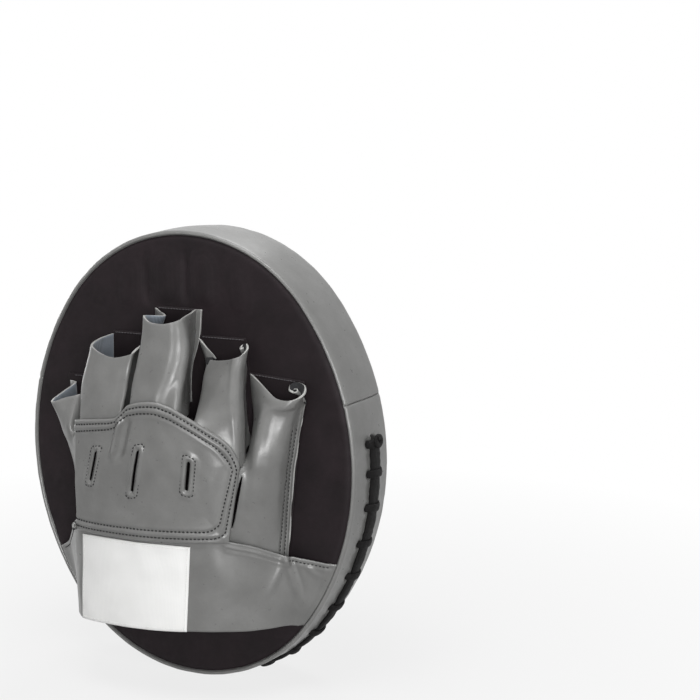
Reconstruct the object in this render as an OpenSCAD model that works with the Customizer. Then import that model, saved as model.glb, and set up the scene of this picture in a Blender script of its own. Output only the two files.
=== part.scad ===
// Left-hand focus mitt, standing on its rim.
// The strike face looks along +Y, the glove for the holder's hand along -Y, and +Z is up.
// The origin lies on the small flat of the rim that it stands on.

/* [Pad] */
// Height of the oval pad
pad_height = 254; // [240:1:280]
// Width of the oval pad
pad_width = 210; // [196:1:226]
// Depth of the pad from seam to seam
pad_depth = 42; // [38:1:56]
// Radius of the rim's rolled shoulders
shoulder_radius = 3; // [2.5:0.5:5]
// Flat strip of rim between a shoulder and its face seam
seam_flange = 0.6; // [0.4:0.2:2]
// Thickness of the vinyl and nylon cover
cover_thickness = 1.5; // [1:0.1:2]
// Rise of the strike face at its middle
face_crown = 2; // [0.5:0.5:5]
// Diameter of the round target
target_diameter = 61; // [40:1:90]
// Thickness of the target patch
target_thickness = 0.8; // [0.5:0.1:2]
// Depth of the flat that the rim is pressed into where it stands
rest_flat_depth = 0.5; // [0.3:0.1:1]
// Height above the pad's middle at which the two rim panels are joined
rim_joint_height = 38; // [32:1:60]

/* [Foam] */
// Thickness of the dense foam behind the strike face, at its edge
strike_foam_thickness = 14; // [8:1:16]
// Thickness of the foam behind the hand
palm_foam_thickness = 10; // [6:1:12]

/* [Lacing] */
// Number of places where the lace crosses the slit
lace_crossings = 9; // [6:1:9]
// Height of the first crossing above the pad's middle, round the rim
lace_start = 13; // [4:1:16]
// Distance between crossings, round the rim
lace_pitch = 19.5; // [16:0.5:20]
// Width of the flat lace
lace_width = 5.6; // [4:0.2:6.4]
// Thickness of the flat lace
lace_thickness = 2.2; // [1.8:0.2:2.8]
// Distance between the two rows of lace holes
lace_row_spacing = 13; // [12:0.5:16]
// Distance of the slit from the middle of the rim, towards the strike face
slit_offset = 1; // [-3:0.5:4]
// Width of the slit
slit_width = 2.4; // [1:0.2:3]

/* [Glove] */
// Thickness of the glove's vinyl
sheet_thickness = 1.2; // [0.8:0.1:1.5]
// Thickness of the lining that the palm lies on
lining_thickness = 0.8; // [0.5:0.1:1.5]
// Thickness of the sewn label patch
label_thickness = 0.6; // [0.3:0.1:1]
// Clearance between pieces that are sewn or laid together
fit_gap = 0.3; // [0.2:0.05:0.4]
// Place of the glove's little-finger side, left of the pad's middle
glove_left = 76; // [73:1:78]
// Width of the little finger's stall at its mouth
little_width = 28.5; // [26:0.5:31]
// Width of the ring finger's stall at its mouth
ring_width = 29; // [26:0.5:32]
// Width of the middle finger's stall at its mouth
middle_width = 28; // [25:0.5:31]
// Width of the index finger's stall at its mouth
index_width = 31.5; // [28:0.5:34]
// Width of the thumb's stall at its mouth, with its sewn flange
thumb_width = 32.5; // [29:0.5:35]
// Rise of the little finger's stall at its mouth
little_rise = 30; // [24:1:33]
// Rise of the ring finger's stall at its mouth
ring_rise = 33; // [26:1:38]
// Rise of the middle finger's stall at its mouth
middle_rise = 31; // [25:1:38]
// Rise of the index finger's stall at its mouth
index_rise = 13; // [10:1:24]
// Rise of the thumb's stall at its mouth
thumb_rise = 16; // [12:1:20]
// Height of the little finger's mouth above the pad's middle
little_mouth = 38; // [34:1:44]
// Height of the ring finger's mouth above the pad's middle
ring_mouth = 65; // [58:1:72]
// Height of the middle finger's mouth above the pad's middle
middle_mouth = 82; // [74:1:88]
// Height of the index finger's mouth above the pad's middle
index_mouth = 68; // [60:1:74]
// Height of the thumb's mouth above the pad's middle
thumb_mouth = 48; // [44:1:52]
// Width of the sewn flanges along the glove's two sides
flange_width = 6; // [4:0.5:7]

/* [Hand cover] */
// Rise of the glove's arch over the back of the hand
hand_rise = 47; // [43:1:54]
// Height of the knuckle seam's peak above the pad's middle
knuckle_height = 39; // [36:1:42]
// Depth of the dorsal panel's lower edge below the pad's middle
dorsal_drop = 33; // [30:1:36]
// Length of the middle vent slit
vent_length = 24; // [14:1:30]
// Width of the vent slits
vent_width = 2.2; // [1.2:0.2:3]
// Depth of the wrist band's lower edge below the pad's middle
band_drop = 87; // [82:1:92]
// Height of the wrist band where its ends are sewn into the rim seams
band_end_height = 37; // [32:1:42]
// Width of the label
label_width = 72; // [56:1:74]

/* [Hidden] */
$fn = 128;

grey_vinyl = [0.42, 0.42, 0.41];
black_nylon = [0.09, 0.085, 0.085];
lace_black = [0.06, 0.06, 0.06];
target_grey = [0.34, 0.37, 0.36];
label_white = [0.93, 0.93, 0.92];
dense_foam = [0.3, 0.3, 0.32];
soft_foam = [0.86, 0.84, 0.76];

// The oval has two side arcs and two end arcs that run into each other, where the line through their
// centres has a slope of three in four.
half_height = pad_height / 2;
half_width = pad_width / 2;
half_depth = pad_depth / 2;
middle_z = half_height - rest_flat_depth;
side_centre = 4 * (half_height - half_width) / 2;
end_centre = 3 * (half_height - half_width) / 2;
oval_turn = atan2(3, 4);
side_radius = half_width + side_centre;
end_radius = half_height - end_centre;
side_length = side_radius * oval_turn * PI / 180;

// Each arc: its centre, its radius, and the angles that it runs between, thumb side first
oval_arcs = [
  [[-side_centre, 0], side_radius, -oval_turn, oval_turn],
  [[0, end_centre], end_radius, oval_turn, 180 - oval_turn],
  [[side_centre, 0], side_radius, 180 - oval_turn, 180 + oval_turn],
  [[0, -end_centre], end_radius, 180 + oval_turn, 360 - oval_turn]
];

// Rim and faces
seam_inset = shoulder_radius + seam_flange;
face_inset = seam_inset + fit_gap;
crown_reach = 28;
shoulder_steps = 6;
crown_steps = 4;
joint_angle = asin(rim_joint_height / side_radius);
joint_gap_angle = asin(fit_gap / side_radius);

// Inside of the cover, where the foam lies
foam_half_depth = half_depth - cover_thickness - fit_gap;
foam_inset = cover_thickness + fit_gap;
foam_corner = max(shoulder_radius - cover_thickness, 0.5);

// Lacing, as distances down the rim from the thumb side's middle
lace_end_margin = 9.5;
lace_last = (lace_crossings - 1) * lace_pitch - lace_start;
lace_top = -lace_start - lace_end_margin;
lace_bottom = lace_last + lace_end_margin;
lace_pinch = 0.75;
lace_hole_d = lace_width * lace_pinch + 2 * fit_gap;
lace_row = lace_row_spacing / 2;
lace_over = fit_gap + lace_thickness / 2;
lace_bar_over = lace_over + lace_thickness + 0.6;
lace_under = -(cover_thickness + fit_gap + lace_thickness / 2);
lace_channel_depth = cover_thickness + lace_thickness + 4 * fit_gap;
lace_channel_half = lace_row + lace_width / 2 + 1;
lace_sides = 6;

// The glove's coordinates are x, the rise above the back panel, and the height above the pad's middle.
foot_rise = lining_thickness + fit_gap;
flange_rise = foot_rise + sheet_thickness;
lap = sheet_thickness + 2 * fit_gap;
stall_gap = 0.8;
tuck = 8;

// Lines on the back panel where neighbouring stalls are sewn down, at the mouths and at the knuckles
foot_lines = [
  -glove_left,
  -glove_left + little_width,
  -glove_left + little_width + ring_width,
  -glove_left + little_width + ring_width + middle_width,
  -glove_left + little_width + ring_width + middle_width + index_width,
  -glove_left + little_width + ring_width + middle_width + index_width + thumb_width
];
knuckle_lines = [for (i = [0:3]) foot_lines[i + 1] + [1.5, 5.5, 13.5, 5][i]];
stall_mouths = [little_mouth, ring_mouth, middle_mouth, index_mouth, thumb_mouth];

// Arch over the back of the hand, fuller on the little-finger side
hand_left = foot_lines[0] + 3;
hand_right = foot_lines[5] - 3.5;
hand_crest = foot_lines[2] + 13.5;
arch_power_left = 2.6;
arch_power_right = 1.8;

// Dorsal panel's corners and the knuckle seam that its top edge follows
dorsal_top_x = [knuckle_lines[0] - 5, knuckle_lines[3] + 3.5];
dorsal_low_x = [knuckle_lines[0] - 3.5, knuckle_lines[3] - 4.5];
dorsal_low_z = [1 - dorsal_drop, -2.5 - dorsal_drop];
knuckle_fall_left = 12;
knuckle_fall_right = 25;
knuckle_power_left = 2;
knuckle_power_right = 2.6;
vent_slant = -1.9;

// How far the glove's two sewn sides lean in for each millimetre down the pad
side_lean = 0.105;

// How far the little finger's mouth dips at its lip, and the rise of the thumb's stall further down
little_dip = 7;
thumb_middle_rise = thumb_rise + 6;
thumb_root_rise = thumb_rise + 7;

// Curves and sheets

function lerp(a, b, t) = a + (b - a) * t;

// Point on the smooth curve through four neighbouring points, between the middle two
function curve(a, b, c, d, t) =
  0.5 * (2 * b + (c - a) * t + (2 * a - 5 * b + 4 * c - d) * t * t + (3 * b - a - 3 * c + d) * t * t * t);

// Point at a share s of the smooth curve through a list of points
function along(points, s) =
  let (last = len(points) - 1)
  let (place = min(s * last, last - 0.000001))
  let (i = floor(place))
  curve(points[max(i - 1, 0)], points[i], points[i + 1], points[min(i + 2, last)], place - i);

// Rows of points from one section to the next, with a number of steps after each section
function loft(sections, columns, steps) = [
  for (k = [0:len(steps) - 1])
    for (j = [0:steps[k] - (k < len(steps) - 1 ? 1 : 0)])
      [for (i = [0:columns]) lerp(along(sections[k], i / columns), along(sections[k + 1], i / columns), j / steps[k])]
];

function place(p) = [p[0], -half_depth - p[1], middle_z + p[2]];
function place_all(rows) = [for (row = rows) [for (p = row) place(p)]];

// Outward direction of a grid of points at a row and column
function facing(rows, j, i) =
  let (j0 = max(j - 1, 0), j1 = min(j + 1, len(rows) - 1))
  let (i0 = max(i - 1, 0), i1 = min(i + 1, len(rows[0]) - 1))
  let (n = cross(rows[j1][i] - rows[j0][i], rows[j][i1] - rows[j][i0]))
  n / norm(n);

// The grid moved along its own outward direction, and no lower than the surface it is sewn to
function raised(rows, distance, seat_y) = [
  for (j = [0:len(rows) - 1])
    [for (i = [0:len(rows[0]) - 1])
      let (p = rows[j][i] + distance * facing(rows, j, i))
      [p[0], min(p[1], seat_y), p[2]]]
];

function flat(rows) = [for (row = rows) for (p = row) p];

// A sheet between two grids of points, with some cells left out as slits
module sheet(outer, inner, slit = function (j, i) false) {
  m = len(outer) - 1;
  n = len(outer[0]) - 1;
  total = (m + 1) * (n + 1);
  solid = function (j, i) j >= 0 && i >= 0 && j < m && i < n && !slit(j, i);
  at = function (j, i) j * (n + 1) + i;
  cells = [for (j = [0:m - 1]) for (i = [0:n - 1]) if (solid(j, i)) [j, i]];
  skins = [for (c = cells)
    let (a = at(c[0], c[1]), b = at(c[0], c[1] + 1), d = at(c[0] + 1, c[1]), e = at(c[0] + 1, c[1] + 1))
    each [[a, b, e], [a, e, d], [total + a, total + e, total + b], [total + a, total + d, total + e]]];
  edges = [for (c = cells)
    let (j = c[0], i = c[1])
    each [
      if (!solid(j - 1, i)) [at(j, i), at(j, i + 1)],
      if (!solid(j + 1, i)) [at(j + 1, i + 1), at(j + 1, i)],
      if (!solid(j, i - 1)) [at(j + 1, i), at(j, i)],
      if (!solid(j, i + 1)) [at(j, i + 1), at(j + 1, i + 1)]
    ]];
  walls = [for (w = edges)
    each [[w[1], w[0], total + w[0]], [w[1], total + w[0], total + w[1]]]];
  polyhedron(concat(flat(outer), flat(inner)), concat(skins, walls), convexity = 8);
}

// A vinyl sheet whose outside is the grid, sewn down on the lining
module vinyl(rows, slit = function (j, i) false) {
  color(grey_vinyl)
    sheet(rows, raised(rows, -sheet_thickness, -half_depth - foot_rise), slit);
}

// Pad

// Turns a solid drawn with the oval in its XY plane to stand up, with its top towards the hand
module upright() {
  translate([0, 0, middle_z])
    rotate([90, 0, 0])
      children();
}

// Point at an angle and distance from the centre of one of the oval's arcs
function arc_point(k, angle, distance) = oval_arcs[k][0] + distance * [cos(angle), sin(angle)];

// A section swept round one arc of the oval between two angles. The section is a function of the arc's
// radius that gives points of distance from the arc's centre and height.
module arc_sweep(k, from_angle, to_angle, section) {
  far = oval_arcs[k][1] + pad_depth;
  intersection() {
    translate(oval_arcs[k][0])
      rotate_extrude()
        polygon(section(oval_arcs[k][1]));
    linear_extrude(4 * pad_depth, center = true)
      polygon([
        oval_arcs[k][0], arc_point(k, from_angle, far),
        arc_point(k, (from_angle + to_angle) / 2, 1.3 * far), arc_point(k, to_angle, far)
      ]);
  }
}

// A section swept round the whole oval
module oval_sweep(section) {
  for (k = [0:3])
    arc_sweep(k, oval_arcs[k][2], oval_arcs[k][3], section);
}

// Rise of the strike face at a distance in from its seam
function crown(inset) = face_crown * sin(90 * min(max(inset / crown_reach, 0), 1));

// Rounded corner of a section, from its flat side to its outer side
function shoulder(radius, depth, roll) = [
  for (k = [0:shoulder_steps])
    let (turn = 90 - 90 * k / shoulder_steps)
    [radius - roll + roll * cos(turn), depth - roll + roll * sin(turn)]
];

function reversed(points) = [for (k = [len(points) - 1:-1:0]) points[k]];
function mirrored(points) = [for (p = points) [p[0], -p[1]]];

// Section of the rim cover: a wall with two rolled shoulders and the flanges that the faces are sewn to
rim_section = function (r)
  let (skin = concat([[r - seam_inset, half_depth]], shoulder(r, half_depth, shoulder_radius)))
  let (back = concat(
    [[r - seam_inset, half_depth - cover_thickness]],
    shoulder(r - cover_thickness, half_depth - cover_thickness, foam_corner)))
  concat(skin, reversed(mirrored(skin)), mirrored(back), reversed(back));

// Points of a crowned face from the middle of an arc to an edge, at a depth towards the strike side
function crowned(r, edge_inset, depth) = concat(
  [[0, -depth - face_crown]],
  [for (k = [crown_steps:-1:0])
    let (inset = crown_reach * k / crown_steps)
    [r - face_inset - inset, -depth - crown(inset)]],
  edge_inset < face_inset ? [[r - edge_inset, -depth]] : []
);

module strike_panel() {
  color(black_nylon)
    upright()
      oval_sweep(function (r) concat(
        crowned(r, face_inset, half_depth),
        reversed(crowned(r, face_inset, half_depth - cover_thickness))));
}

// The round target on the flat middle of the strike face
module target_disc() {
  color(target_grey)
    translate([0, half_depth + face_crown, middle_z])
      rotate([-90, 0, 0])
        cylinder(d = target_diameter, h = target_thickness);
}

module back_panel() {
  color(black_nylon)
    upright()
      oval_sweep(function (r) [
        [0, half_depth - cover_thickness], [r - face_inset, half_depth - cover_thickness],
        [r - face_inset, half_depth], [0, half_depth]
      ]);
}

module gusset_upper() {
  color(grey_vinyl)
    upright()
      union() {
        arc_sweep(0, joint_angle, oval_turn, rim_section);
        arc_sweep(1, oval_turn, 180 - oval_turn, rim_section);
        arc_sweep(2, 180 - oval_turn, 180 - joint_angle, rim_section);
      }
}

// Angle round its arc of a distance down the thumb side's rim
function rim_angle(s) = s < side_length
  ? -s / side_radius * 180 / PI
  : -oval_turn - (s - side_length) / end_radius * 180 / PI;
function rim_arc(s) = s < side_length ? 0 : 3;

// A section swept along the laced stretch of the rim, and past its ends
module laced_sweep(extra, section) {
  round_corner = lace_bottom + extra > side_length;
  arc_sweep(0, round_corner ? -oval_turn : rim_angle(lace_bottom + extra), rim_angle(lace_top - extra), section);
  if (round_corner)
    arc_sweep(3, rim_angle(lace_bottom + extra), -oval_turn, section);
}

module lace_hole(s, across) {
  arc = oval_arcs[rim_arc(s)];
  translate(arc[0])
    rotate([0, 0, rim_angle(s)])
      translate([arc[1], 0, -slit_offset - across])
        rotate([0, 90, 0])
          cylinder(d = lace_hole_d, h = 6 * cover_thickness, center = true);
}

// A rectangular section across the rim's wall, from a depth inside the rim to well outside it
function wall_cut(depth, half) = function (r) [
  [r - depth, -slit_offset - half], [r + depth, -slit_offset - half],
  [r + depth, half - slit_offset], [r - depth, half - slit_offset]
];

// Lower rim panel with the laced slit, pressed flat where the mitt stands
module gusset_lower() {
  color(grey_vinyl)
    difference() {
      upright()
        difference() {
          union() {
            arc_sweep(2, 180 - joint_angle + joint_gap_angle, 180 + oval_turn, rim_section);
            arc_sweep(3, 180 + oval_turn, 360 - oval_turn, rim_section);
            arc_sweep(0, -oval_turn, joint_angle - joint_gap_angle, rim_section);
          }
          laced_sweep(0, wall_cut(3 * cover_thickness, slit_width / 2));
          lace_hole(lace_top, 0);
          lace_hole(lace_bottom, 0);
          for (k = [0:lace_crossings - 1])
            for (side = [-1, 1])
              lace_hole(k * lace_pitch - lace_start, side * lace_row);
        }
      translate([-half_width, -pad_depth, -pad_depth])
        cube([pad_width, 2 * pad_depth, pad_depth]);
    }
}

// Foam

// The foam gives way along the slit, where the lace crosses behind the rim
module lace_channel() {
  laced_sweep(lace_width, wall_cut(lace_channel_depth, lace_channel_half));
}

module strike_foam() {
  inner = strike_foam_thickness - foam_half_depth;
  color(dense_foam)
    upright()
      difference() {
        oval_sweep(function (r) concat(
          crowned(r, foam_inset + foam_corner, foam_half_depth),
          mirrored(shoulder(r - foam_inset, foam_half_depth, foam_corner)),
          [[r - foam_inset, inner], [0, inner]]));
        lace_channel();
      }
}

module shock_foam() {
  from = strike_foam_thickness - foam_half_depth;
  to = foam_half_depth - palm_foam_thickness;
  color(soft_foam)
    upright()
      difference() {
        oval_sweep(function (r) [[0, from], [r - foam_inset, from], [r - foam_inset, to], [0, to]]);
        lace_channel();
      }
}

module palm_foam() {
  inner = foam_half_depth - palm_foam_thickness;
  color(soft_foam)
    upright()
      difference() {
        oval_sweep(function (r) concat(
          [[0, inner], [0, foam_half_depth]],
          shoulder(r - foam_inset, foam_half_depth, foam_corner),
          [[r - foam_inset, inner]]));
        lace_channel();
      }
}

// Lace

// One place on the lace's route: a point, the direction of the lace's width there, and its share of that width.
// It is given by how far it lies down the rim, across the slit and out from the rim.
function lace_spot(down, across, out, side, share) =
  let (arc = oval_arcs[rim_arc(down)], angle = rim_angle(down))
  [
    [
      arc[0][0] + (arc[1] + out) * cos(angle),
      slit_offset + across,
      middle_z + arc[0][1] + (arc[1] + out) * sin(angle)
    ],
    [side[0] * sin(angle), side[1], -side[0] * cos(angle)],
    share
  ];

// The straight run over the slit, out of the hole at its top and into the hole at its bottom
lace_run = concat(
  [
    lace_spot(lace_top - 1, 0, lace_under, [0, 1], 0.7),
    lace_spot(lace_top, 0, lace_under + 1, [0, 1], lace_pinch),
    lace_spot(lace_top + 0.5, 0, -0.2, [0, 1], lace_pinch),
    lace_spot(lace_top + 2.2, 0, lace_over, [0, 1], 0.9)
  ],
  [for (k = [0:2 * lace_crossings - 2])
    lace_spot(k * lace_pitch / 2 - lace_start, 0, lace_over, [0, 1], 1)],
  [
    lace_spot(lace_bottom - 2.2, 0, lace_over, [0, 1], 0.9),
    lace_spot(lace_bottom - 0.5, 0, -0.2, [0, 1], lace_pinch),
    lace_spot(lace_bottom, 0, lace_under + 0.5, [0, 1], lace_pinch),
    lace_spot(lace_bottom - 2.5, 1.4, lace_under, [0.5, 0.8], 0.9)
  ]
);

// One bar: up through the strike side's hole, over the run and down through the hand side's hole
function lace_bar(s) = [
  lace_spot(s + 0.6, lace_row - 2.6, lace_under, [0.8, 0.5], 0.9),
  lace_spot(s, lace_row - 0.5, lace_under + 0.7, [1, 0], lace_pinch),
  lace_spot(s, lace_row, -cover_thickness / 2, [1, 0], lace_pinch),
  lace_spot(s, lace_row - 0.6, lace_over + 0.2, [1, 0], lace_pinch),
  lace_spot(s, lace_row * 0.6, lace_bar_over - 0.3, [1, 0], 0.95),
  lace_spot(s, 0, lace_bar_over, [1, 0], 1),
  lace_spot(s, -lace_row * 0.6, lace_bar_over - 0.3, [1, 0], 0.95),
  lace_spot(s, 0.6 - lace_row, lace_over + 0.2, [1, 0], lace_pinch),
  lace_spot(s, -lace_row, -cover_thickness / 2, [1, 0], lace_pinch),
  lace_spot(s, 0.5 - lace_row, lace_under + 0.7, [1, 0], lace_pinch),
  lace_spot(s - 0.6, 2.6 - lace_row, lace_under, [0.8, 0.5], 0.9)
];

lace_bars = [for (k = [lace_crossings - 1:-1:0]) each lace_bar(k * lace_pitch - lace_start)];
lace_route = concat(lace_run, lace_bars);

function lace_ring(k) =
  let (here = lace_route[k])
  let (ahead = lace_route[min(k + 1, len(lace_route) - 1)][0] - lace_route[max(k - 1, 0)][0])
  let (flat_up = cross(ahead, here[1]))
  let (up = flat_up / norm(flat_up))
  let (wide = cross(up, ahead / norm(ahead)))
  [for (s = [0:lace_sides - 1])
    let (turn = 360 * s / lace_sides)
    here[0] + lace_width / 2 * here[2] * cos(turn) * wide + lace_thickness / sqrt(3) * sin(turn) * up];

// Least clear space between the run and the bars that pass over it
lace_clear = min([for (a = lace_run) for (b = lace_bars) norm(a[0] - b[0])]) - lace_thickness;
echo(lace_clear = lace_clear);

module lace() {
  rings = [for (k = [0:len(lace_route) - 1]) lace_ring(k)];
  last = len(rings) - 1;
  skin = [for (k = [0:last - 1]) for (s = [0:lace_sides - 1])
    let (a = k * lace_sides + s, b = k * lace_sides + (s + 1) % lace_sides)
    each [[a, b + lace_sides, b], [a, a + lace_sides, b + lace_sides]]];
  ends = [for (s = [1:lace_sides - 2])
    each [[0, s, s + 1], [last * lace_sides, last * lace_sides + s + 1, last * lace_sides + s]]];
  color(lace_black)
    polyhedron(flat(rings), concat(skin, ends), convexity = 10);
}

// Glove

function bow(share, power) = pow(max(0, 1 - pow(share, power)), 1 / power);

// Rise of the arch over the hand, and of what lies under the sheet that follows it
function arch(x) = hand_rise * (x < hand_crest
  ? bow((hand_crest - x) / (hand_crest - hand_left), arch_power_left)
  : bow((x - hand_crest) / (hand_right - hand_crest), arch_power_right));
function under_arch(x) = arch(x) - lap * norm([1, (arch(x + 1) - arch(x - 1)) / 2]);

// Height of the knuckle seam above the pad's middle
function knuckle_seam(x) = knuckle_height - (x < hand_crest
  ? knuckle_fall_left * pow((hand_crest - x) / (hand_crest - dorsal_top_x[0]), knuckle_power_left)
  : knuckle_fall_right * pow((x - hand_crest) / (dorsal_top_x[1] - hand_crest), knuckle_power_right));

// The glove's sewn sides at a height above the pad's middle
function little_side(z) = foot_lines[0] + side_lean * (little_mouth - z);
function thumb_side(z) = foot_lines[5] - side_lean * (thumb_mouth - z);

// The line between two neighbouring stalls, from their mouths down to the knuckles
function seam_line(k, z) =
  let (high = max(stall_mouths[k - 1], stall_mouths[k]))
  let (low = knuckle_seam(knuckle_lines[k - 1]) - tuck)
  let (down = min(max((high - z) / (high - low), 0), 1))
  lerp(foot_lines[k], knuckle_lines[k - 1], pow(down, 1.6));

// Place across a stall, as a share of its width at a height
function across_stall(k, share, z) =
  lerp(seam_line(k, z) + stall_gap / 2, seam_line(k + 1, z) - stall_gap / 2, share);

// Section of a stall's mouth. Each shape point is a share of the width, a share of the rise and
// a height beside the mouth's own.
function mouth_section(rise, mouth, shape) = [
  for (p = shape)
    [p[0], lerp(foot_rise, rise, p[1]), mouth + p[2]]
];

// Section of a finger stall where it passes under the dorsal panel
base_shape = [[0, 0], [0.01, 0.5], [0.09, 0.9], [0.3, 1], [0.7, 1], [0.91, 0.9], [0.99, 0.5], [1, 0]];
function base_section(k) = [
  for (p = base_shape)
    let (z = knuckle_seam(lerp(knuckle_lines[k - 1], knuckle_lines[k], p[0])) - tuck)
    [p[0], lerp(foot_rise, under_arch(across_stall(k, p[0], z)), p[1]), z]
];

module finger_stall(k, rise, shape) {
  columns = 20;
  rows = 8;
  mouth = mouth_section(rise, stall_mouths[k], shape);
  base = base_section(k);
  vinyl(place_all([
    for (j = [0:rows])
      [for (i = [0:columns])
        let (m = along(mouth, i / columns), b = along(base, i / columns))
        let (z = lerp(m[2], b[2], j / rows))
        [
          across_stall(k, lerp(m[0], b[0], j / rows), z),
          lerp(b[1], m[1], pow(1 - j / rows, 1.7)),
          z
        ]]
  ]));
}

module ring_stall() {
  finger_stall(1, ring_rise, [
    [0, 0, 2], [0.03, 0.5, 1], [0.24, 0.92, 0], [0.45, 1, -3],
    [0.72, 1, -4], [0.92, 0.85, -3], [0.99, 0.5, -1], [1, 0, 2]
  ]);
}

// The middle stall's left flank is creased in, so that its mouth leans over the index finger
module middle_stall() {
  finger_stall(2, middle_rise, [
    [0, 0, 1], [0.02, 0.12, 1], [0.34, 0.34, 1], [0.42, 0.94, 1],
    [0.66, 1.02, -1], [0.95, 0.98, -2], [1.12, 0.84, 0], [1.1, 0.45, 1], [1, 0, 1]
  ]);
}

// The index stall lies pressed down at its mouth
module index_stall() {
  finger_stall(3, index_rise, [
    [0, 0, 0], [0.08, 0.4, -4], [0.4, 0.95, -9], [0.62, 1, -8],
    [0.86, 1.05, -5], [0.97, 0.8, -3], [1, 0.4, -1], [1, 0, 0]
  ]);
}

// Mouth of one of the two side pieces, between its sewn side and its neighbour
function piece_mouth(left, right, rise, mouth, shape) = [
  for (p = mouth_section(rise, mouth, shape))
    [lerp(left, right, p[0]), p[1], p[2]]
];

// Section of the little-finger piece: a flange, the flank, the ridge and the side towards the ring finger
flank_shape = [[0, 0], [0.14, 0], [0.24, 0.42], [0.4, 0.78], [0.6, 0.95], [0.82, 1], [0.93, 0.93], [0.99, 0.45], [1, 0]];
function little_flank(z, right) = [
  for (k = [0:len(flank_shape) - 1])
    let (x = lerp(little_side(z), right, flank_shape[k][0]))
    [x, lerp(k < 2 ? flange_rise : foot_rise, under_arch(max(x, dorsal_top_x[0] - 3)), flank_shape[k][1]), z]
];

// The same piece further down, where its inner edge lies under the dorsal panel
tucked_shape = [[0, 0], [0.16, 0], [0.25, 0.42], [0.38, 0.75], [0.54, 0.93], [0.68, 1], [0.78, 1], [0.89, 1], [1, 1]];
function little_tucked(z_side, z_edge) = [
  for (k = [0:len(tucked_shape) - 1])
    let (z = lerp(z_side, z_edge, tucked_shape[k][0]))
    let (x = lerp(little_side(z), dorsal_top_x[0] + 7, tucked_shape[k][0]))
    [x, lerp(k < 2 ? flange_rise : foot_rise, under_arch(max(x, dorsal_top_x[0] - 3)), tucked_shape[k][1]), z]
];

module little_stall() {
  right = knuckle_lines[0] - stall_gap / 2;
  crotch = knuckle_seam(right) - tuck;
  mouth = piece_mouth(foot_lines[0], seam_line(1, little_mouth) - stall_gap / 2, little_rise, little_mouth, [
    [0, 0.04, 0], [0.1, 0.05, -1], [0.14, 0.5, -4], [0.18, 0.85, -6], [0.29, 1, -little_dip],
    [0.55, 0.97, -4], [0.82, 0.85, -2], [0.97, 0.4, 0], [1, 0, 0]
  ]);
  vinyl(place_all(loft([
    mouth,
    little_flank((crotch + little_mouth - little_dip) / 2, right),
    little_flank(crotch, right),
    little_tucked(crotch - tuck, crotch - tuck),
    little_tucked(-7 - dorsal_drop, 6 - dorsal_drop)
  ], 18, [3, 2, 3, 6])));
}

// Section of the thumb piece beside the index finger
thumb_shape = [[0, 0], [0.12, 0.35], [0.3, 0.75], [0.5, 1], [0.63, 0.92], [0.73, 0.6], [0.8, 0.2], [0.86, 0], [1, 0]];
function thumb_flank(z, left, rise) = [
  for (k = [0:len(thumb_shape) - 1])
    [lerp(left, thumb_side(z), thumb_shape[k][0]), lerp(k > 6 ? flange_rise : foot_rise, rise, thumb_shape[k][1]), z]
];

// The same piece further down, where its inner edge lies under the dorsal panel's free side
edge_shape = [[0, 1], [0.13, 1], [0.26, 1], [0.4, 0.88], [0.54, 0.64], [0.67, 0.34], [0.76, 0.1], [0.84, 0], [1, 0]];
function thumb_tucked(z_edge, z_side, left) = [
  for (k = [0:len(edge_shape) - 1])
    let (z = lerp(z_edge, z_side, edge_shape[k][0]))
    let (x = lerp(left, thumb_side(z), edge_shape[k][0]))
    let (top = under_arch(lerp(left, thumb_side(z), min(edge_shape[k][0], edge_shape[2][0]))))
    [x, lerp(k > 6 ? flange_rise : foot_rise, top, edge_shape[k][1]), z]
];

module thumb_stall() {
  left = knuckle_lines[3] + stall_gap / 2;
  crotch = knuckle_seam(knuckle_lines[3]) - tuck;
  middle = lerp(crotch, thumb_mouth, 0.42);
  mouth = piece_mouth(seam_line(4, thumb_mouth) + stall_gap / 2, foot_lines[5], thumb_rise, thumb_mouth, [
    [0, 0, 4], [0.12, 0.25, 2], [0.36, 0.55, -2], [0.6, 0.95, -6], [0.72, 0.9, -8],
    [0.8, 0.5, -8], [0.84, 0.2, -7], [0.88, 0.1, -6], [1, 0.1, -4]
  ]);
  vinyl(place_all(loft([
    mouth,
    thumb_flank(middle, seam_line(4, middle) + stall_gap / 2, thumb_middle_rise),
    thumb_flank(crotch, left, thumb_root_rise),
    thumb_tucked(crotch - tuck, crotch - tuck, dorsal_top_x[1] - 12),
    thumb_tucked(4.5 - dorsal_drop, -9 - dorsal_drop, dorsal_low_x[1] - 9)
  ], 18, [3, 2, 3, 6])));
}

// Dorsal panel over the knuckles and the back of the hand, with three stitched vent slits
vent_at = [0.21, 0.485, 0.785];
dorsal_span = knuckle_height + dorsal_drop;
vent_half = vent_width / 2 / (dorsal_top_x[1] - dorsal_top_x[0]);
side_vent = 0.68 * vent_length;
vent_top = [0.35, 0.385];
vent_low = [
  vent_top[0] + side_vent / dorsal_span,
  vent_top[1] + side_vent / dorsal_span,
  vent_top[0] + vent_length / dorsal_span
];
dorsal_rows = concat([0, 0.09, 0.18, 0.27], vent_top, vent_low, [(vent_low[2] + 1) / 2, 1]);
dorsal_columns = [
  0, 0.03, 0.08, 0.14, vent_at[0] - vent_half, vent_at[0] + vent_half,
  0.28, 0.35, 0.42, vent_at[1] - vent_half, vent_at[1] + vent_half,
  0.55, 0.62, 0.69, 0.75, vent_at[2] - vent_half, vent_at[2] + vent_half, 0.88, 0.92, 0.96, 1
];
function dorsal_point(u, v) =
  let (across = u + vent_slant * u * pow(1 - u, 3) * (v - 0.4))
  let (x_top = lerp(dorsal_top_x[0], dorsal_top_x[1], across))
  let (x = lerp(x_top, lerp(dorsal_low_x[0], dorsal_low_x[1], across), v))
  [x, arch(x), lerp(knuckle_seam(x_top), lerp(dorsal_low_z[0], dorsal_low_z[1], across), v)];
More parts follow.
